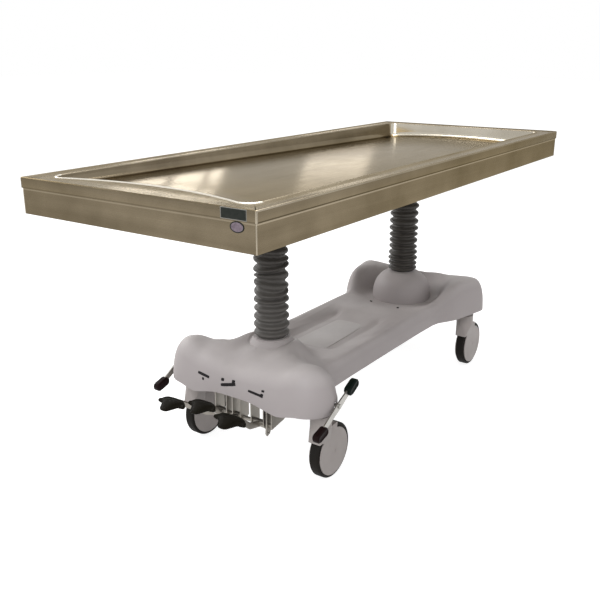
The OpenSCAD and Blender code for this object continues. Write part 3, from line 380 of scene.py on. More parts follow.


def brushed_metal(name, dark, light, stretch, rough, depth=0.12):
    """Sheet metal brushed along one axis. The stretch is small along the brushing. Its dark tones
    and broad patches are partly the sheet's own tone, partly painted reflection of a darker room.
    """
    material, tree, shader, position = new_material(name)
    grain = use_group(tree, GRAIN, position, Stretch=stretch, Depth=depth)
    # broad tone patches: partly the sheet's random tone, partly painted reflection of a darker room
    patches = use_group(tree, SMUDGES, position, Size=2.6, Contrast=1.5)
    tone = math_node(tree, "MULTIPLY_ADD", grain["Broad"], 0.55)
    tree.links.new(patches["Mask"], tone.node.inputs[2])
    tone = range_node(tree, tone, 0.45, 1.1)
    tree.links.new(mix_colours(tree, tone, dark, light), shader.inputs["Base Color"])
    tree.links.new(range_node(tree, grain["Fine"], 0.3, 0.7, *rough), shader.inputs["Roughness"])
    tree.links.new(grain["Normal"], shader.inputs["Normal"])
    shader.inputs["Metallic"].default_value = 1.0
    shader.inputs["Specular Tint"].default_value = STEEL_GLANCING
    return material


def plated_metal(name, base, worn, roughness, metallic=1.0, spots=14.0):
    """Zinc or chrome plating with cloudy patches."""
    material, tree, shader, position = new_material(name)
    clouds = use_group(tree, SMUDGES, position, Size=spots, Contrast=1.8)
    skin = use_group(tree, MOULD, position, Scale=420.0, Depth=0.12)
    tree.links.new(mix_colours(tree, clouds["Mask"], base, worn), shader.inputs["Base Color"])
    tree.links.new(range_node(tree, clouds["Mask"], 0.2, 0.8, roughness * 0.8, roughness * 1.25),
                   shader.inputs["Roughness"])
    tree.links.new(skin["Normal"], shader.inputs["Normal"])
    shader.inputs["Metallic"].default_value = metallic
    return material


def moulded(name, base, shade, roughness, grain=900.0, depth=0.1, size=5.0, dust_and_top_light=None,
            specular=0.5):
    """A plastic, paint or rubber surface: two close tones, fine skin, and a lighter film on faces
    that look up, partly dust and partly painted light.
    """
    material, tree, shader, position = new_material(name)
    patches = use_group(tree, SMUDGES, position, Size=size, Contrast=1.6)
    skin = use_group(tree, MOULD, position, Scale=grain, Depth=depth)
    colour = mix_colours(tree, patches["Mask"], shade, base)
    # Faces that look up are mixed lighter: partly light dust, partly painted light on tops.
    if dust_and_top_light:
        lying = add(tree, "ShaderNodeSeparateXYZ")
        tree.links.new(add(tree, "ShaderNodeNewGeometry").outputs["Normal"], lying.inputs[0])
        upward = range_node(tree, lying.outputs["Z"], DUST_AND_TOP_LIGHT_FROM, 1.0, 0.0, DUST_AND_TOP_LIGHT_AMOUNT)
        dust_and_top_light_film = math_node(tree, "MULTIPLY", upward, patches["Mask"])
        colour = mix_colours(tree, dust_and_top_light_film, colour, dust_and_top_light)
    tree.links.new(colour, shader.inputs["Base Color"])
    tree.links.new(range_node(tree, patches["Mask"], 0.2, 0.8, roughness * 1.12, roughness * 0.9),
                   shader.inputs["Roughness"])
    tree.links.new(skin["Normal"], shader.inputs["Normal"])
    shader.inputs["Specular IOR Level"].default_value = specular
    return material


def place_along(material, axis):
    """The surface's own place along one axis of the part."""
    tree = material.node_tree
    parts = add(tree, "ShaderNodeSeparateXYZ")
    tree.links.new(add(tree, "ShaderNodeTexCoord").outputs["Object"], parts.inputs[0])
    return parts.outputs[axis]


def lay_over(material, mask, colour):
    """Mixes a colour over the finish that the material has so far."""
    tree = material.node_tree
    base = tree.nodes["Principled BSDF"].inputs["Base Color"]
    tree.links.new(mix_colours(tree, mask, base.links[0].from_socket, colour), base)


def lighten(material, axis, none, full, amount, colour):
    """Mixes a lighter colour in along an axis, from where there is none to where it is full:
    painted light.
    """
    ends = (0.0, amount) if none < full else (amount, 0.0)
    mask = range_node(material.node_tree, place_along(material, axis),
                      min(none, full), max(none, full), *ends)
    lay_over(material, mask, colour)


HEM_SHADOW_AND_HIGHLIGHT = (    # painted shadow line, then painted highlight line: the height of its middle, half its width, its colour and its strength
    (RIM_Z - BAND_HEIGHT + 0.0014, 0.0016, (0.05, 0.04, 0.025), 0.8),
    (RIM_Z - BAND_HEIGHT - 0.0038, 0.0018, (0.42, 0.36, 0.27), 0.6),
)


def hem_shadow_and_highlight(material, strength):
    """A painted shadow line along the folded hem of the band, where it overhangs the skirt, and a
    painted highlight line on the skirt just below it.
    """
    tree = material.node_tree
    height = place_along(material, "Z")
    for middle, half, colour, share in HEM_SHADOW_AND_HIGHLIGHT:
        line = math_node(tree, "COMPARE", height, middle)
        line.node.inputs[2].default_value = half
        lay_over(material, math_node(tree, "MULTIPLY", line, strength * share), colour)


# ---------------------------------------------------------------- finishes

STEEL_TONES = ((0.120, 0.096, 0.062), (0.225, 0.184, 0.126))
COVER_TONES = ((0.384, 0.348, 0.346), (0.352, 0.317, 0.315))
COVER_SKIN = {"roughness": 0.56, "grain": 1100.0, "depth": 0.06, "size": 3.0}
PRINT_SKIN = {"grain": 900.0, "depth": 0.05}

steel_lengthwise = brushed_metal("steel brushed lengthwise", *STEEL_TONES,
                                 stretch=(1.0, 26, 26), rough=(0.20, 0.34))
steel_crosswise = brushed_metal("steel brushed crosswise", *STEEL_TONES,
                                stretch=(26, 1.0, 26), rough=(0.20, 0.34))
basin_steel = brushed_metal("basin steel", (0.15, 0.122, 0.082), (0.27, 0.225, 0.158),
                            stretch=(1.0, 20, 20), rough=(0.17, 0.25), depth=0.03)
rim_steel = brushed_metal("rim steel", (0.215, 0.180, 0.130), (0.37, 0.325, 0.25),
                          stretch=(1.0, 16, 16), rough=(0.22, 0.34), depth=0.05)
# Painted light: the rim steel is mixed lighter towards the pedal end, where the rim catches more
# light.
lighten(rim_steel, "X", none=-0.860, full=-0.930, amount=0.12, colour=(0.72, 0.66, 0.56))
# Painted shadow under the band's hem and painted highlight just below it, on both skirt steels.
hem_shadow_and_highlight(steel_lengthwise, 1.0)
hem_shadow_and_highlight(steel_crosswise, 0.5)
# A much lighter copy of the tray steel on the rolled folds: a painted highlight line.
fold_steel_painted_highlight = brushed_metal("fold steel painted highlight", (0.78, 0.74, 0.66), (0.92, 0.89, 0.82),
                              stretch=(3, 12, 12), rough=(0.14, 0.26), depth=0.03)
# A lighter copy of the tray steel on the far end wall, which faces the lamps: painted light.
end_wall_painted_light = brushed_metal("end wall steel painted light", (0.40, 0.365, 0.30), (0.56, 0.52, 0.44),
                           stretch=(12, 3, 12), rough=(0.14, 0.26), depth=0.03)
frame_steel = brushed_metal("frame steel", (0.24, 0.22, 0.19), (0.38, 0.36, 0.32),
                            stretch=(4, 14, 14), rough=(0.34, 0.5))

zinc = plated_metal("zinc plating", (0.35, 0.34, 0.32), (0.50, 0.485, 0.46), 0.34)
dull_zinc = plated_metal("dull zinc plating", (0.22, 0.20, 0.178), (0.37, 0.35, 0.315), 0.42,
                         spots=22.0)
screw_steel = plated_metal("blackened screw", (0.030, 0.028, 0.027), (0.050, 0.046, 0.042), 0.45,
                           metallic=0.6, spots=60.0)
hard_chrome = plated_metal("hard chrome", (0.62, 0.62, 0.61), (0.70, 0.70, 0.69), 0.16, spots=30.0)
bronze = plated_metal("machined bronze", (0.46, 0.31, 0.15), (0.60, 0.43, 0.22), 0.3, spots=60.0)

grey_paint = moulded("grey frame paint", (0.30, 0.29, 0.285), (0.25, 0.245, 0.24), 0.42,
                     grain=500.0, depth=0.15)
cover_plastic = moulded("cover moulding", *COVER_TONES, dust_and_top_light=(0.64, 0.60, 0.59), **COVER_SKIN)
panel_plastic = moulded("panel moulding", (0.450, 0.420, 0.412), (0.415, 0.385, 0.378),
                        dust_and_top_light=(0.70, 0.67, 0.66), **COVER_SKIN)
collar_plastic = moulded("collar moulding", *COVER_TONES, dust_and_top_light=(0.47, 0.44, 0.43), **COVER_SKIN)
caster_plastic = moulded("caster moulding", (0.375, 0.335, 0.320), (0.320, 0.285, 0.270), 0.45,
                         grain=1100.0, depth=0.06, size=12.0)

tyre_rubber = moulded("tyre rubber", (0.008, 0.007, 0.006), (0.014, 0.012, 0.010), 0.65,
                      grain=700.0, depth=0.2, size=20.0, specular=0.12)
pedal_rubber = moulded("pedal rubber", (0.006, 0.005, 0.003), (0.010, 0.008, 0.005), 0.60,
                       grain=600.0, depth=0.3, size=30.0, specular=0.06)
brake_rubber = moulded("brake pad rubber", (0.010, 0.003, 0.003), (0.006, 0.002, 0.002), 0.42,
                       grain=600.0, depth=0.2, size=40.0, specular=0.08)
steer_rubber = moulded("steer pad rubber", (0.003, 0.008, 0.006), (0.003, 0.005, 0.004), 0.42,
                       grain=600.0, depth=0.2, size=40.0, specular=0.08)
bellows_rubber = moulded("bellows rubber", (0.062, 0.056, 0.049), (0.040, 0.036, 0.031), 0.5,
                         grain=500.0, depth=0.25, size=14.0, dust_and_top_light=(0.10, 0.092, 0.084),
                         specular=0.35)
# The front sleeve's rubber, mixed lighter towards the bottom: painted light below the tray's shade.
front_bellows_painted_light = moulded("front bellows rubber painted light", (0.046, 0.041, 0.035), (0.032, 0.028, 0.024), 0.5,
                       grain=500.0, depth=0.25, size=14.0, dust_and_top_light=(0.09, 0.083, 0.075),
                       specular=0.3)
lighten(front_bellows_painted_light, "Z", none=0.76, full=0.48, amount=0.8, colour=(0.108, 0.101, 0.094))
hose_rubber = moulded("hose rubber", (0.02, 0.02, 0.02), (0.03, 0.03, 0.03), 0.45,
                      grain=900.0, depth=0.3, size=40.0)

dark_mark = moulded("dark print", (0.008, 0.007, 0.008), (0.014, 0.012, 0.013), 0.6,
                    size=60.0, specular=0.15, **PRINT_SKIN)
plate_face = moulded("dark plate face", (0.013, 0.016, 0.013), (0.030, 0.032, 0.028), 0.6,
                     size=110.0, specular=0.08, **PRINT_SKIN)
plate_border = moulded("plate border", (0.20, 0.19, 0.17), (0.15, 0.14, 0.125), 0.4,
                       size=60.0, **PRINT_SKIN)
oval_face = moulded("oval plate", (0.24, 0.19, 0.225), (0.09, 0.068, 0.082), 0.5,
                    size=160.0, specular=0.2, **PRINT_SKIN)


# ---------------------------------------------------------------- finish on the carried-over nodes

def dress(names, material, bevel=0.0006):
    """Gives nodes their finish, their loose triangles welded and their edges softened."""
    for name in names:
        obj = nodes[name]
        pick(obj)
        bpy.ops.mesh.customdata_custom_splitnormals_clear()
        obj.data.polygons.foreach_set("use_smooth", [True] * len(obj.data.polygons))
        obj.data.materials.clear()
        obj.data.materials.append(material)
        weld = obj.modifiers.new("weld", "WELD")
        weld.merge_threshold = MERGE_DISTANCE
        if bevel:
            flat = obj.modifiers.new("flat faces", "DECIMATE")
            flat.decimate_type = "DISSOLVE"
            flat.angle_limit = math.radians(0.5)
            soft = obj.modifiers.new("soft edges", "BEVEL")
            soft.width = bevel
            soft.segments = 2
            soft.limit_method = "ANGLE"
            soft.angle_limit = math.radians(32)
            soft.harden_normals = True


def nodes_like(*starts):
    return [name for name in nodes if name.startswith(starts)]


dress(["skirt_sides"], steel_lengthwise, 0.001)
dress(["skirt_ends"], steel_crosswise, 0.001)
dress(["tray_rails", "cross_bearers", "drain_outlet"], frame_steel)
dress(["front_pivot_bracket", "rear_slot_bracket", "front_head", "rear_head", "chassis_rails",
       "front_beam", "rear_beam", "column_plates", "caster_sockets", "pump_unit"], grey_paint)
dress(["front_pivot_pin", "rear_slide_pin", "brake_shaft", "rocker_arms"], zinc, 0.0005)
dress(nodes_like("caster_axle"), caster_plastic, 0.0005)
dress(["pedal_hangers", "pedal_shaft"] + nodes_like("pedal_lever"), dull_zinc, 0.0005)
dress(["front_ram", "rear_ram", "rear_mid_stage"], hard_chrome)
dress(["front_column_tube", "rear_column_tube"], grey_paint)
dress(["guide_bushes"], bronze)
dress(["hydraulic_lines"], hose_rubber, 0)
dress(["rear_dome"], cover_plastic, 0.0012)
dress(["front_collar"], collar_plastic, 0.0040)
dress(nodes_like("caster_housing", "wheel_centre"), caster_plastic, 0.0012)
dress(nodes_like("wheel_tyre"), tyre_rubber, 0.0015)

stage = nodes["rear_mid_stage"]
stage.data.materials.append(hose_rubber)
for face in stage.data.polygons:
    middle = stage.matrix_world @ face.center
    if math.hypot(middle.x - REAR_COLUMN_X, middle.y) > STAGE_RING_INSIDE:
        face.material_index = 1


# ---------------------------------------------------------------- tray

def refined(node, name, sharp, levels):
    """A copy of a node's mesh, joined up, with creased corners and rounded between them."""
    obj = nodes[node].copy()
    obj.data = nodes[node].data.copy()
    for key in list(obj.keys()):
        del obj[key]
    obj.name = name
    obj.data.name = name
    obj.modifiers.clear()
    obj.parent = None
    scene.collection.objects.link(obj)
    open_mesh(obj)
    bpy.ops.mesh.customdata_custom_splitnormals_clear()
    bpy.ops.mesh.remove_doubles(threshold=MERGE_DISTANCE)
    bpy.ops.mesh.tris_convert_to_quads(face_threshold=math.radians(40),
                                       shape_threshold=math.radians(60))
    bpy.ops.mesh.select_all(action="DESELECT")
    bpy.ops.mesh.select_mode(type="EDGE")
    bpy.ops.mesh.edges_select_sharp(sharpness=math.radians(sharp))
    bpy.ops.transform.edge_crease(value=1)
    close_mesh()
    if levels:
        apply_modifier(obj, "SUBSURF", levels=levels, render_levels=levels)
    return obj


def is_tray_corner(first, second):
    """True for an upright edge at one of the tray's four corners."""
    return (abs(first.z - second.z) > 0.02 and abs(first.x) > CORNER_FROM_X
            and abs(first.y) > CORNER_FROM_Y and (first - second).xy.length < 0.0001)


def form_rim(obj):
    """Rounds the corners, sinks the rim between its rolled edges, and returns its flat faces."""
    select_edges(obj, is_tray_corner)
    open_selected(obj, "EDGE")
    bpy.ops.mesh.bevel(offset=TRAY_CORNER, segments=4, affect="EDGES")
    close_mesh()
    round_edges(obj, SMALL_ROUND)
    select_faces(obj, lambda centre, normal: normal.z > 0.999 and centre.z > RIM_Z - 0.0002)
    open_selected(obj, "FACE")
    bpy.ops.mesh.inset(thickness=RIM_EDGE, depth=-RIM_HOLLOW)
    close_mesh()
    underside = {index for face in obj.data.polygons for index in face.vertices
                 if face.normal.z < -0.99 and abs(face.center.z - RIM_Z + TRAY_SHEET) < 0.0003}
    for index in underside:
        obj.data.vertices[index].co.z -= RIM_HOLLOW
    return set(selected_faces(obj))


BASIN, BOW, RIM, LENGTHWISE, CROSSWISE, END_WALL = range(6)    # the tray's finishes, in their order


def tray_finish(face, rim_field):
    """Which of the tray's finishes a face has."""
    x, y, z = face.center
    normal = face.normal
    outer = abs(x) > BAND_FROM_X or abs(y) > BAND_FROM_Y
    if face.index in rim_field:
        return RIM
    if z > RIM_Z - RIM_ROLL and normal.z > 0.2:
        if outer:
            return RIM if abs(normal.y) > abs(normal.x) else CROSSWISE
        return BOW if x < BOW_END_X else RIM
    if outer:
        if abs(normal.x) < 0.97 and abs(normal.y) < 0.97 and abs(normal.z) < 0.2:
            return RIM
        return LENGTHWISE if abs(normal.y) > 0.5 else CROSSWISE
    return END_WALL if x > END_WALL_FROM_X and normal.x < -0.6 else BASIN


tray = refined("tray_basin", "tray_shell", sharp=60, levels=0)
rim_field = form_rim(tray)
finish_piece(tray, basin_steel, "tray")
for finish in (fold_steel_painted_highlight, rim_steel, steel_lengthwise, steel_crosswise, end_wall_painted_light):
    tray.data.materials.append(finish)
for face in tray.data.polygons:
    face.material_index = tray_finish(face, rim_field)
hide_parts("tray_basin")


def lowest(name):
    obj = nodes[name]
    return min((obj.matrix_world @ Vector(corner)).z for corner in obj.bound_box)


def corner_weld(number, x, y):
    """The dressed weld where a long and a short skirt panel meet."""
    foot, top = lowest("skirt_sides") + 0.0004, RIM_Z - BAND_HEIGHT + 0.0005
    weld = new_piece("skirt_corner_weld_%d" % number, bpy.ops.mesh.primitive_cylinder_add,
                     vertices=24, radius=WELD_RADIUS, depth=top - foot,
                     location=(x, y, (top + foot) / 2))
    place_in_mesh(weld)
    round_edges(weld, SMALL_ROUND)
    finish_piece(weld, rim_steel, "tray")


weld_inset = SKIRT_SETBACK + 0.7 * WELD_RADIUS
weld_x, weld_y = -TRAY_END_X - weld_inset, TRAY_HALF_WIDTH - weld_inset
for number, (side_x, side_y) in enumerate(((-1, -1), (-1, 1), (1, -1), (1, 1))):
    corner_weld(number, side_x * weld_x, side_y * weld_y)


# ---------------------------------------------------------------- base cover

def smooth(part):
    part = min(max(part, 0.0), 1.0)
    return part * part * (3 - 2 * part)


def rise(place, start, width):
    """0 before the start, 1 once the width is passed."""
    return smooth((place - start) / width)


def fall(place, end, width):
    """1 until the width before the end, 0 after the end."""
    return smooth((end - place) / width)


def soften_cover(obj):
    """Opens the valley's walls into a gentle dish and fills the saddles beside the front column."""
    for vertex in obj.data.vertices:
        x, y, z = vertex.co
        if z < COVER_TOP_FROM_Z:
            continue
        side = abs(y)
        along = (rise(x, FRONT_COLUMN_X + 0.165, 0.045) * fall(x, REAR_COLUMN_X - 0.320, 0.045))
        steep = fall(side, 0.098, 0.036)
        gentle = 0.87 * fall(side, 0.205, 0.150)
        saddle = (rise(x, -0.580, 0.080) * fall(x, -0.330, 0.090)
                  * rise(side, 0.040, 0.060) * fall(side, 0.205, 0.080))
        lip = (1 - rise(x, COVER_FRONT_X + 0.060, 0.090)) * (1 - rise(side, 0.030, 0.140))
        shoulder = fall(x, -0.424, 0.140) * (rise(side, 0.150, 0.080) - rise(side, 0.060, 0.165))
        vertex.co.z = (z + VALLEY_DEPTH * along * (steep - gentle) + SADDLE_FILL * saddle
                       + LIP_FILL * lip + SHOULDER_RISE * shoulder)


def waist_panel():
    """The pump's access panel, a thin plate with rounded corners that lies in the valley."""
    panel = flat_box("waist_access_panel", PANEL_PLACE, PANEL_SIZE)
    for vertex in panel.data.vertices:
        if vertex.co.x > 0:
            vertex.co.y *= PANEL_REAR_WIDTH / PANEL_SIZE[1]
    select_edges(panel, lambda first, second: abs(first.x - second.x) < 0.001
                 and abs(first.y - second.y) < 0.001)
    open_selected(panel, "EDGE")
    bpy.ops.mesh.bevel(offset=PANEL_CORNER, segments=5, affect="EDGES")
    close_mesh()
    round_edges(panel, SMALL_ROUND)
    finish_piece(panel, panel_plastic, "base")


cover = refined("base_cover", "cover_moulding", sharp=38, levels=1)
soften_cover(cover)
finish_piece(cover, cover_plastic, "base")
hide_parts("base_cover")
waist_panel()


# ---------------------------------------------------------------- pedal, brake and steer rubbers

def fit_to_node(obj, node):
    """Stretches a subdivided copy back to its node's box, which subdividing draws in."""
    low, high = (Vector(corner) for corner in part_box(node))
    points = [vertex.co for vertex in obj.data.vertices]
    small = Vector([min(point[k] for point in points) for k in range(3)])
    large = Vector([max(point[k] for point in points) for k in range(3)])
    ratio = [(high[k] - low[k]) / (large[k] - small[k]) for k in range(3)]
    for vertex in obj.data.vertices:
        vertex.co = [low[k] + (vertex.co[k] - small[k]) * ratio[k] for k in range(3)]
    return low, high


def dish_top(obj, low, high):
    """Sinks a pad's tread inside a raised border, as a moulded foot pad has."""
    middle = (low + high) / 2
    half = (high - low) / 2
    for vertex in obj.data.vertices:
        across = abs(vertex.co.y - middle.y) / half.y
        outline = half.x * (1 - PAD_TAPER * across ** PAD_TAPER_CURVE)
        along = abs(vertex.co.x - middle.x) / outline if outline > 0 else 2
        inside = min((1 - across) / PAD_BORDER, (1 - along) / PAD_BORDER, 1)
        if inside > 0 and vertex.normal.z > 0.2:
            vertex.co.z -= PAD_DISH * inside * inside * (3 - 2 * inside)
    obj.data.update()


for place in ("far", "middle", "near"):
    pad = refined("pedal_pad_" + place, "pedal_rubber_" + place, sharp=60, levels=2)
    low, high = fit_to_node(pad, "pedal_pad_" + place)
    dish_top(pad, low, high)
    finish_piece(pad, pedal_rubber, "pedal_" + place, smooth_angle=60)
    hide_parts("pedal_pad_" + place)

for node, material in (("brake_pads", brake_rubber), ("steer_pads", steer_rubber)):
    pads = refined(node, node.replace("pads", "rubbers"), sharp=60, levels=0)
    outer_face = max(abs(vertex.co.y) for vertex in pads.data.vertices)
    select_faces(pads, lambda centre, normal: abs(normal.y) > 0.95
                 and abs(centre.y) > outer_face - 0.0005)
    open_selected(pads, "FACE")
    bpy.ops.mesh.dissolve_limited(angle_limit=math.radians(2))
    bpy.ops.mesh.inset(thickness=RUBBER_RING_IN, depth=0)
    bpy.ops.mesh.inset(thickness=RUBBER_RING_WIDTH, depth=-RUBBER_RING_DEPTH)
    close_mesh()
    round_edges(pads, RUBBER_ROUND, angle=35)
    finish_piece(pads, material, "rocker")
    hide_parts(node)


# ---------------------------------------------------------------- bellows

def fold_stations(foot, top, folds, rng, growth, slack):
    """The height and radius of each ring up the sleeve: six to a fold, each fold a bit uneven."""
    weights = [rng.uniform(0.90, 1.10) * (1 + growth * ((k + 0.5) / folds - 0.5))
               for k in range(folds)]
    total = sum(weights)
    stations = []
    height = foot
    for k in range(folds):
        pitch = (top - foot) * weights[k] / total
        loose = slack * math.exp(-((k + 0.5) / folds - 0.5) ** 2 * 18)
        crest = FOLD_RADIUS + CREST_STAND - rng.uniform(0.0, CREST_SPREAD) * (1 + loose)
        valley = (VALLEY_RADIUS - 0.0005 + rng.uniform(-VALLEY_SPREAD, VALLEY_SPREAD)
                  - 0.002 * loose)
        section = ((0.16, valley + 0.0006), (0.34, crest - 0.0013), (0.52, crest),
                   (0.70, crest - 0.0011), (0.86, valley + 0.0008), (1.0, valley))
        stations += [(height + part * pitch, radius) for part, radius in section]
        height += pitch
    return stations


def lean_folds(obj, column_x, foot, top, rng, slack):
    """Tilts and shifts the folds a little, less towards both clamped ends."""
    phases = [rng.uniform(0, math.tau) for _ in range(4)]
    for vertex in obj.data.vertices:
        x, y, z = vertex.co
        dx, dy = x - column_x, y
        part = (z - foot) / (top - foot)
        sag = 1 + SAG * slack * math.exp(-((part - SAG_PLACE) / SAG_REACH) ** 2)
        hold = min(1.0, 6 * part, 6 * (1 - part)) * sag
        lean = (LEAN * math.sin(31 * part + phases[0]) * dx
                + LEAN * math.sin(23 * part + phases[1]) * dy) * hold
        turn = math.atan2(dy, dx) * 2 + 19 * part + phases[2]
        squeeze = 1 - OVAL * min(hold, 1) * (1 + math.sin(turn)) / 2
        vertex.co = (column_x + dx * squeeze, dy * squeeze, min(max(z + lean, foot), top))


def bellows(name, column_x, foot, top, folds, seed, growth=0.0, slack=0.0):
    """Turned up ring by ring from a circle, then leaned, rounded and given its wall."""
    rng = random.Random(seed)
    obj = new_piece(name, bpy.ops.mesh.primitive_circle_add, vertices=40, radius=VALLEY_RADIUS,
                    fill_type="NOTHING", location=(column_x, 0, foot))
    place_in_mesh(obj)
    stations = fold_stations(foot, top, folds, rng, growth, slack)
    open_mesh(obj)
    z, radius = foot, VALLEY_RADIUS
    for next_z, next_radius in stations:
        bpy.ops.mesh.extrude_region_move(TRANSFORM_OT_translate={"value": (0, 0, next_z - z)})
        scale = next_radius / radius
        bpy.ops.transform.resize(value=(scale, scale, 1), center_override=(column_x, 0, next_z))
        z, radius = next_z, next_radius
    bpy.ops.mesh.select_all(action="SELECT")
    bpy.ops.mesh.normals_make_consistent(inside=False)
    close_mesh()
    lean_folds(obj, column_x, foot, top, rng, slack)
    apply_modifier(obj, "SUBSURF", levels=1, render_levels=1)
    apply_modifier(obj, "SOLIDIFY", thickness=RUBBER_WALL, offset=-1)
    return obj


front_bellows = bellows("front_folded_sleeve", FRONT_COLUMN_X, foot=0.394, top=0.825,
                        folds=16, seed=3, slack=1.0)
finish_piece(front_bellows, front_bellows_painted_light, "base", smooth_angle=0)
rear_lower = bellows("rear_folded_sleeve_low", REAR_COLUMN_X, foot=0.410, top=0.716,
                     folds=12, seed=5, growth=0.6)
finish_piece(rear_lower, bellows_rubber, "base", smooth_angle=0)
rear_upper = bellows("rear_folded_sleeve_top", REAR_COLUMN_X, foot=0.728, top=0.825,
                     folds=3, seed=8)
finish_piece(rear_upper, bellows_rubber, "rear_stage", smooth_angle=0)

# The sleeves are left with no parent
for sleeve in (front_bellows, rear_lower, rear_upper):
    sleeve.data.polygons.foreach_set("use_smooth", [True] * len(sleeve.data.polygons))
    sleeve.parent = None
    sleeve.matrix_parent_inverse.identity()

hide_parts("front_bellows")
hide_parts("rear_bellows_lower")
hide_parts("rear_bellows_upper")
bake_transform(front_bellows)
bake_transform(rear_lower)
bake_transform(rear_upper)


# ---------------------------------------------------------------- plates, marks and screws

def sink_field(plate, border, depth, border_finish, field_finish):
    """Sinks a blank field inside a plate's border, on its face that looks along -X."""
    select_faces(plate, lambda centre, normal: normal.x < -0.99)
    open_selected(plate, "FACE")
    bpy.ops.mesh.inset(thickness=border, depth=0)
    bpy.ops.mesh.inset(thickness=depth, depth=-depth)
    close_mesh()
    field = selected_faces(plate)
    finish_piece(plate, border_finish, "tray", smooth_angle=30)
    plate.data.materials.append(field_finish)
    for index in field:
        plate.data.polygons[index].material_index = 1


plate = flat_box("maker_plate_blank", (TRAY_END_X + 0.0003, -0.3360, 0.9205),
                 (0.0012, 0.074, 0.0265))
open_mesh(plate)
bpy.ops.mesh.bevel(offset=0.0002, segments=2, affect="EDGES")
close_mesh()
sink_field(plate, border=0.0014, depth=0.0002, border_finish=plate_border,
           field_finish=plate_face)

oval = new_piece("oval_plate_blank", bpy.ops.mesh.primitive_cylinder_add, vertices=48, radius=1,
                 depth=1, rotation=(0, math.pi / 2, 0),
                 location=(TRAY_END_X + SKIRT_SETBACK - 0.0005, -0.3425, 0.8915))
oval.scale = (0.0130, 0.0198, 0.0012)
place_in_mesh(oval)
sink_field(oval, border=0.0022, depth=0.0003, border_finish=plate_face, field_finish=oval_face)


# Generic marks over the pedals: y and z of the middle, width, height, and tilt in degrees
PEDAL_MARKS = (
    (0.1165, 0.2985, 0.050, 0.0080, 5),
    (0.1176, 0.2857, 0.0085, 0.0075, 0),
    (0.0145, 0.2925, 0.058, 0.0090, -14),
    (0.0372, 0.3030, 0.0115, 0.0085, 0),
    (-0.0050, 0.3045, 0.0120, 0.0110, 0),
    (-0.0890, 0.2888, 0.054, 0.0070, 7),
    (-0.1110, 0.2875, 0.0100, 0.0110, 7),
    (-0.1136, 0.3015, 0.0100, 0.0060, 0),
)


def printed_mark(number, y, z, across, tall, tilt):
    """A thin print laid on the cover's front face from straight ahead."""
    mark = new_piece("pedal_mark_%d" % number, bpy.ops.mesh.primitive_grid_add, x_subdivisions=4,
                     y_subdivisions=16, size=1, location=(-0.70, y, z),
                     rotation=(0, -math.pi / 2, 0))
    mark.scale = (tall * 1.1, across, 1)
    place_in_mesh(mark)
    turn = math.radians(tilt)
    for vertex in mark.data.vertices:
        dy, dz = vertex.co.y - y, vertex.co.z - z
        round_end = 1 - 0.25 * (abs(dy) / (across / 2)) ** 6
        vertex.co.y = y + dy * math.cos(turn) - dz * round_end * math.sin(turn)
        vertex.co.z = z + dy * math.sin(turn) + dz * round_end * math.cos(turn)
    apply_modifier(mark, "SHRINKWRAP", target=cover, wrap_method="PROJECT", use_project_x=True,
                   use_positive_direction=True, use_negative_direction=False, offset=0.0)
    apply_modifier(mark, "SOLIDIFY", thickness=0.0005, offset=0.0)
    finish_piece(mark, dark_mark, "base")


for number, mark in enumerate(PEDAL_MARKS):
    printed_mark(number, *mark)


def cover_screw(name, x, y):
    """A sunk socket screw on top of the cover, turned to the surface that it holds."""
    _, place, normal, _ = cover.ray_cast(Vector((x, y, 0.6)), Vector((0, 0, -1)))
    screw = new_piece(name, bpy.ops.mesh.primitive_cylinder_add, vertices=24, radius=0.0042,
                      depth=0.004, location=place,
                      rotation=normal.to_track_quat("Z", "Y").to_euler())
    place_in_mesh(screw)
    select_faces(screw, lambda centre, direction: direction.dot(normal) > 0.9)
    open_selected(screw, "FACE")
    bpy.ops.mesh.bevel(offset=0.0008, segments=2, affect="EDGES")
    bpy.ops.mesh.inset(thickness=0.0012, depth=0)
    bpy.ops.mesh.inset(thickness=0.0002, depth=-0.0018)
    close_mesh()
    finish_piece(screw, screw_steel, "base", smooth_angle=35)


cover_screw("cover_screw_far", 0.3004, 0.0548)
cover_screw("cover_screw_near", 0.2529, -0.0895)


# ---------------------------------------------------------------- floor, lamps and camera

FLOOR_COLOUR = (0.50, 0.50, 0.50, 1)
FLOOR_GLOW = 0.80
WORLD_LIGHT, WORLD_SEEN = 0.68, 1.0
CAMERA_PLACE = (-2.2926, -1.4074, 1.263)
CAMERA_AIM = (0.7809, 0.5440, -0.3070)
BLIND_POWER, BLIND_WIDTH = 1.6, 0.3
BLINDS = (((2.45, 2.72, 1.37), 0.10), ((2.28, 2.86, 1.37), 0.24), ((2.00, 3.05, 1.37), 0.30))


def seen_ray(tree):
    """1 for a ray that shows the white surroundings: to the camera, off gloss or through glass."""
    path = add(tree, "ShaderNodeLightPath")
    seen = math_node(tree, "MAXIMUM", path.outputs["Is Camera Ray"], path.outputs["Is Glossy Ray"])
    return math_node(tree, "MAXIMUM", seen, path.outputs["Is Transmission Ray"])


def studio_floor():
    floor = new_piece("studio_floor", bpy.ops.mesh.primitive_plane_add, size=60, location=(0, 0, 0))
    material = bpy.data.materials.new("studio floor")
    material.use_nodes = True
    tree = material.node_tree
    tree.nodes.clear()
    out = add(tree, "ShaderNodeOutputMaterial")
    matt = add(tree, "ShaderNodeBsdfDiffuse")
    matt.inputs["Color"].default_value = FLOOR_COLOUR
    glow = add(tree, "ShaderNodeEmission")
    tree.links.new(math_node(tree, "MULTIPLY", seen_ray(tree), FLOOR_GLOW), glow.inputs["Strength"])
    both = add(tree, "ShaderNodeAddShader")
    tree.links.new(matt.outputs[0], both.inputs[0])
    tree.links.new(glow.outputs[0], both.inputs[1])
    tree.links.new(both.outputs[0], out.inputs["Surface"])
    floor.data.materials.append(material)


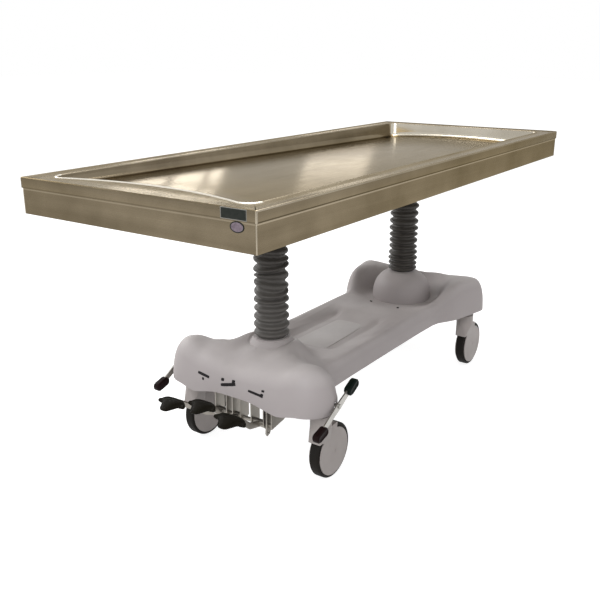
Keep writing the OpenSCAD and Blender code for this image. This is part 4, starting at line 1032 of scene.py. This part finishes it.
def studio_world():
    world = bpy.data.worlds.new("studio")
    scene.world = world
    world.use_nodes = True
    tree = world.node_tree
    ground = tree.nodes["Background"]
    ground.inputs["Color"].default_value = (1, 1, 1, 1)
    tree.links.new(range_node(tree, seen_ray(tree), 0.0, 1.0, WORLD_LIGHT, WORLD_SEEN),
                   ground.inputs["Strength"])


def area_lamp(name, place, target, size, power, tint):
    data = bpy.data.lights.new(name, "AREA")
    data.shape = "RECTANGLE"
    data.size, data.size_y = size
    data.energy = power
    data.color = tint
    lamp = bpy.data.objects.new(name, data)
    lamp.location = place
    lamp.visible_camera = False
    aim = Vector(target) - Vector(place)
    lamp.rotation_euler = aim.to_track_quat("-Z", "Y").to_euler()
    scene.collection.objects.link(lamp)


studio_floor()
studio_world()
area_lamp("overhead_softbox", place=(0.2, 0.2, 3.4), target=(0.0, 0.0, 0.9), size=(2.6, 1.6),
          power=72, tint=(1.0, 0.98, 0.95))
area_lamp("front_softbox", place=(-4.0, -0.9, 2.7), target=(-0.4, 0.0, 0.45), size=(2.6, 2.2),
          power=92, tint=(0.97, 0.985, 1.0))
area_lamp("side_softbox", place=(1.2, -4.0, 1.8), target=(0.2, 0.0, 0.5), size=(1.6, 1.6),
          power=5.5, tint=(1.0, 0.98, 0.95))
area_lamp("far_softbox", place=(-0.4, 3.8, 2.2), target=(-0.1, 0.0, 0.3), size=(2.4, 1.8),
          power=60, tint=(1.0, 0.99, 0.98))
area_lamp("window_panel", place=(2.71, 1.72, 1.43), target=(-0.10, -0.05, 0.91),
          size=(0.50, 0.34), power=1.35, tint=(1.0, 0.98, 0.97))
for k, (place, width) in enumerate(BLINDS):
    area_lamp("blind_panel_%d" % k, place, target=(-0.35, 0.47, 0.91), size=(width, 0.30),
              power=BLIND_POWER * width / BLIND_WIDTH, tint=(1.0, 0.98, 0.96))

camera_data = bpy.data.cameras.new("camera")
camera_data.sensor_width = 36
camera_data.lens = 47.0
camera_data.clip_end = 200
camera = bpy.data.objects.new("camera", camera_data)
camera.location = CAMERA_PLACE
camera.rotation_euler = Vector(CAMERA_AIM).to_track_quat("-Z", "Y").to_euler()
scene.collection.objects.link(camera)
scene.camera = camera
scene.view_settings.view_transform = "Standard"
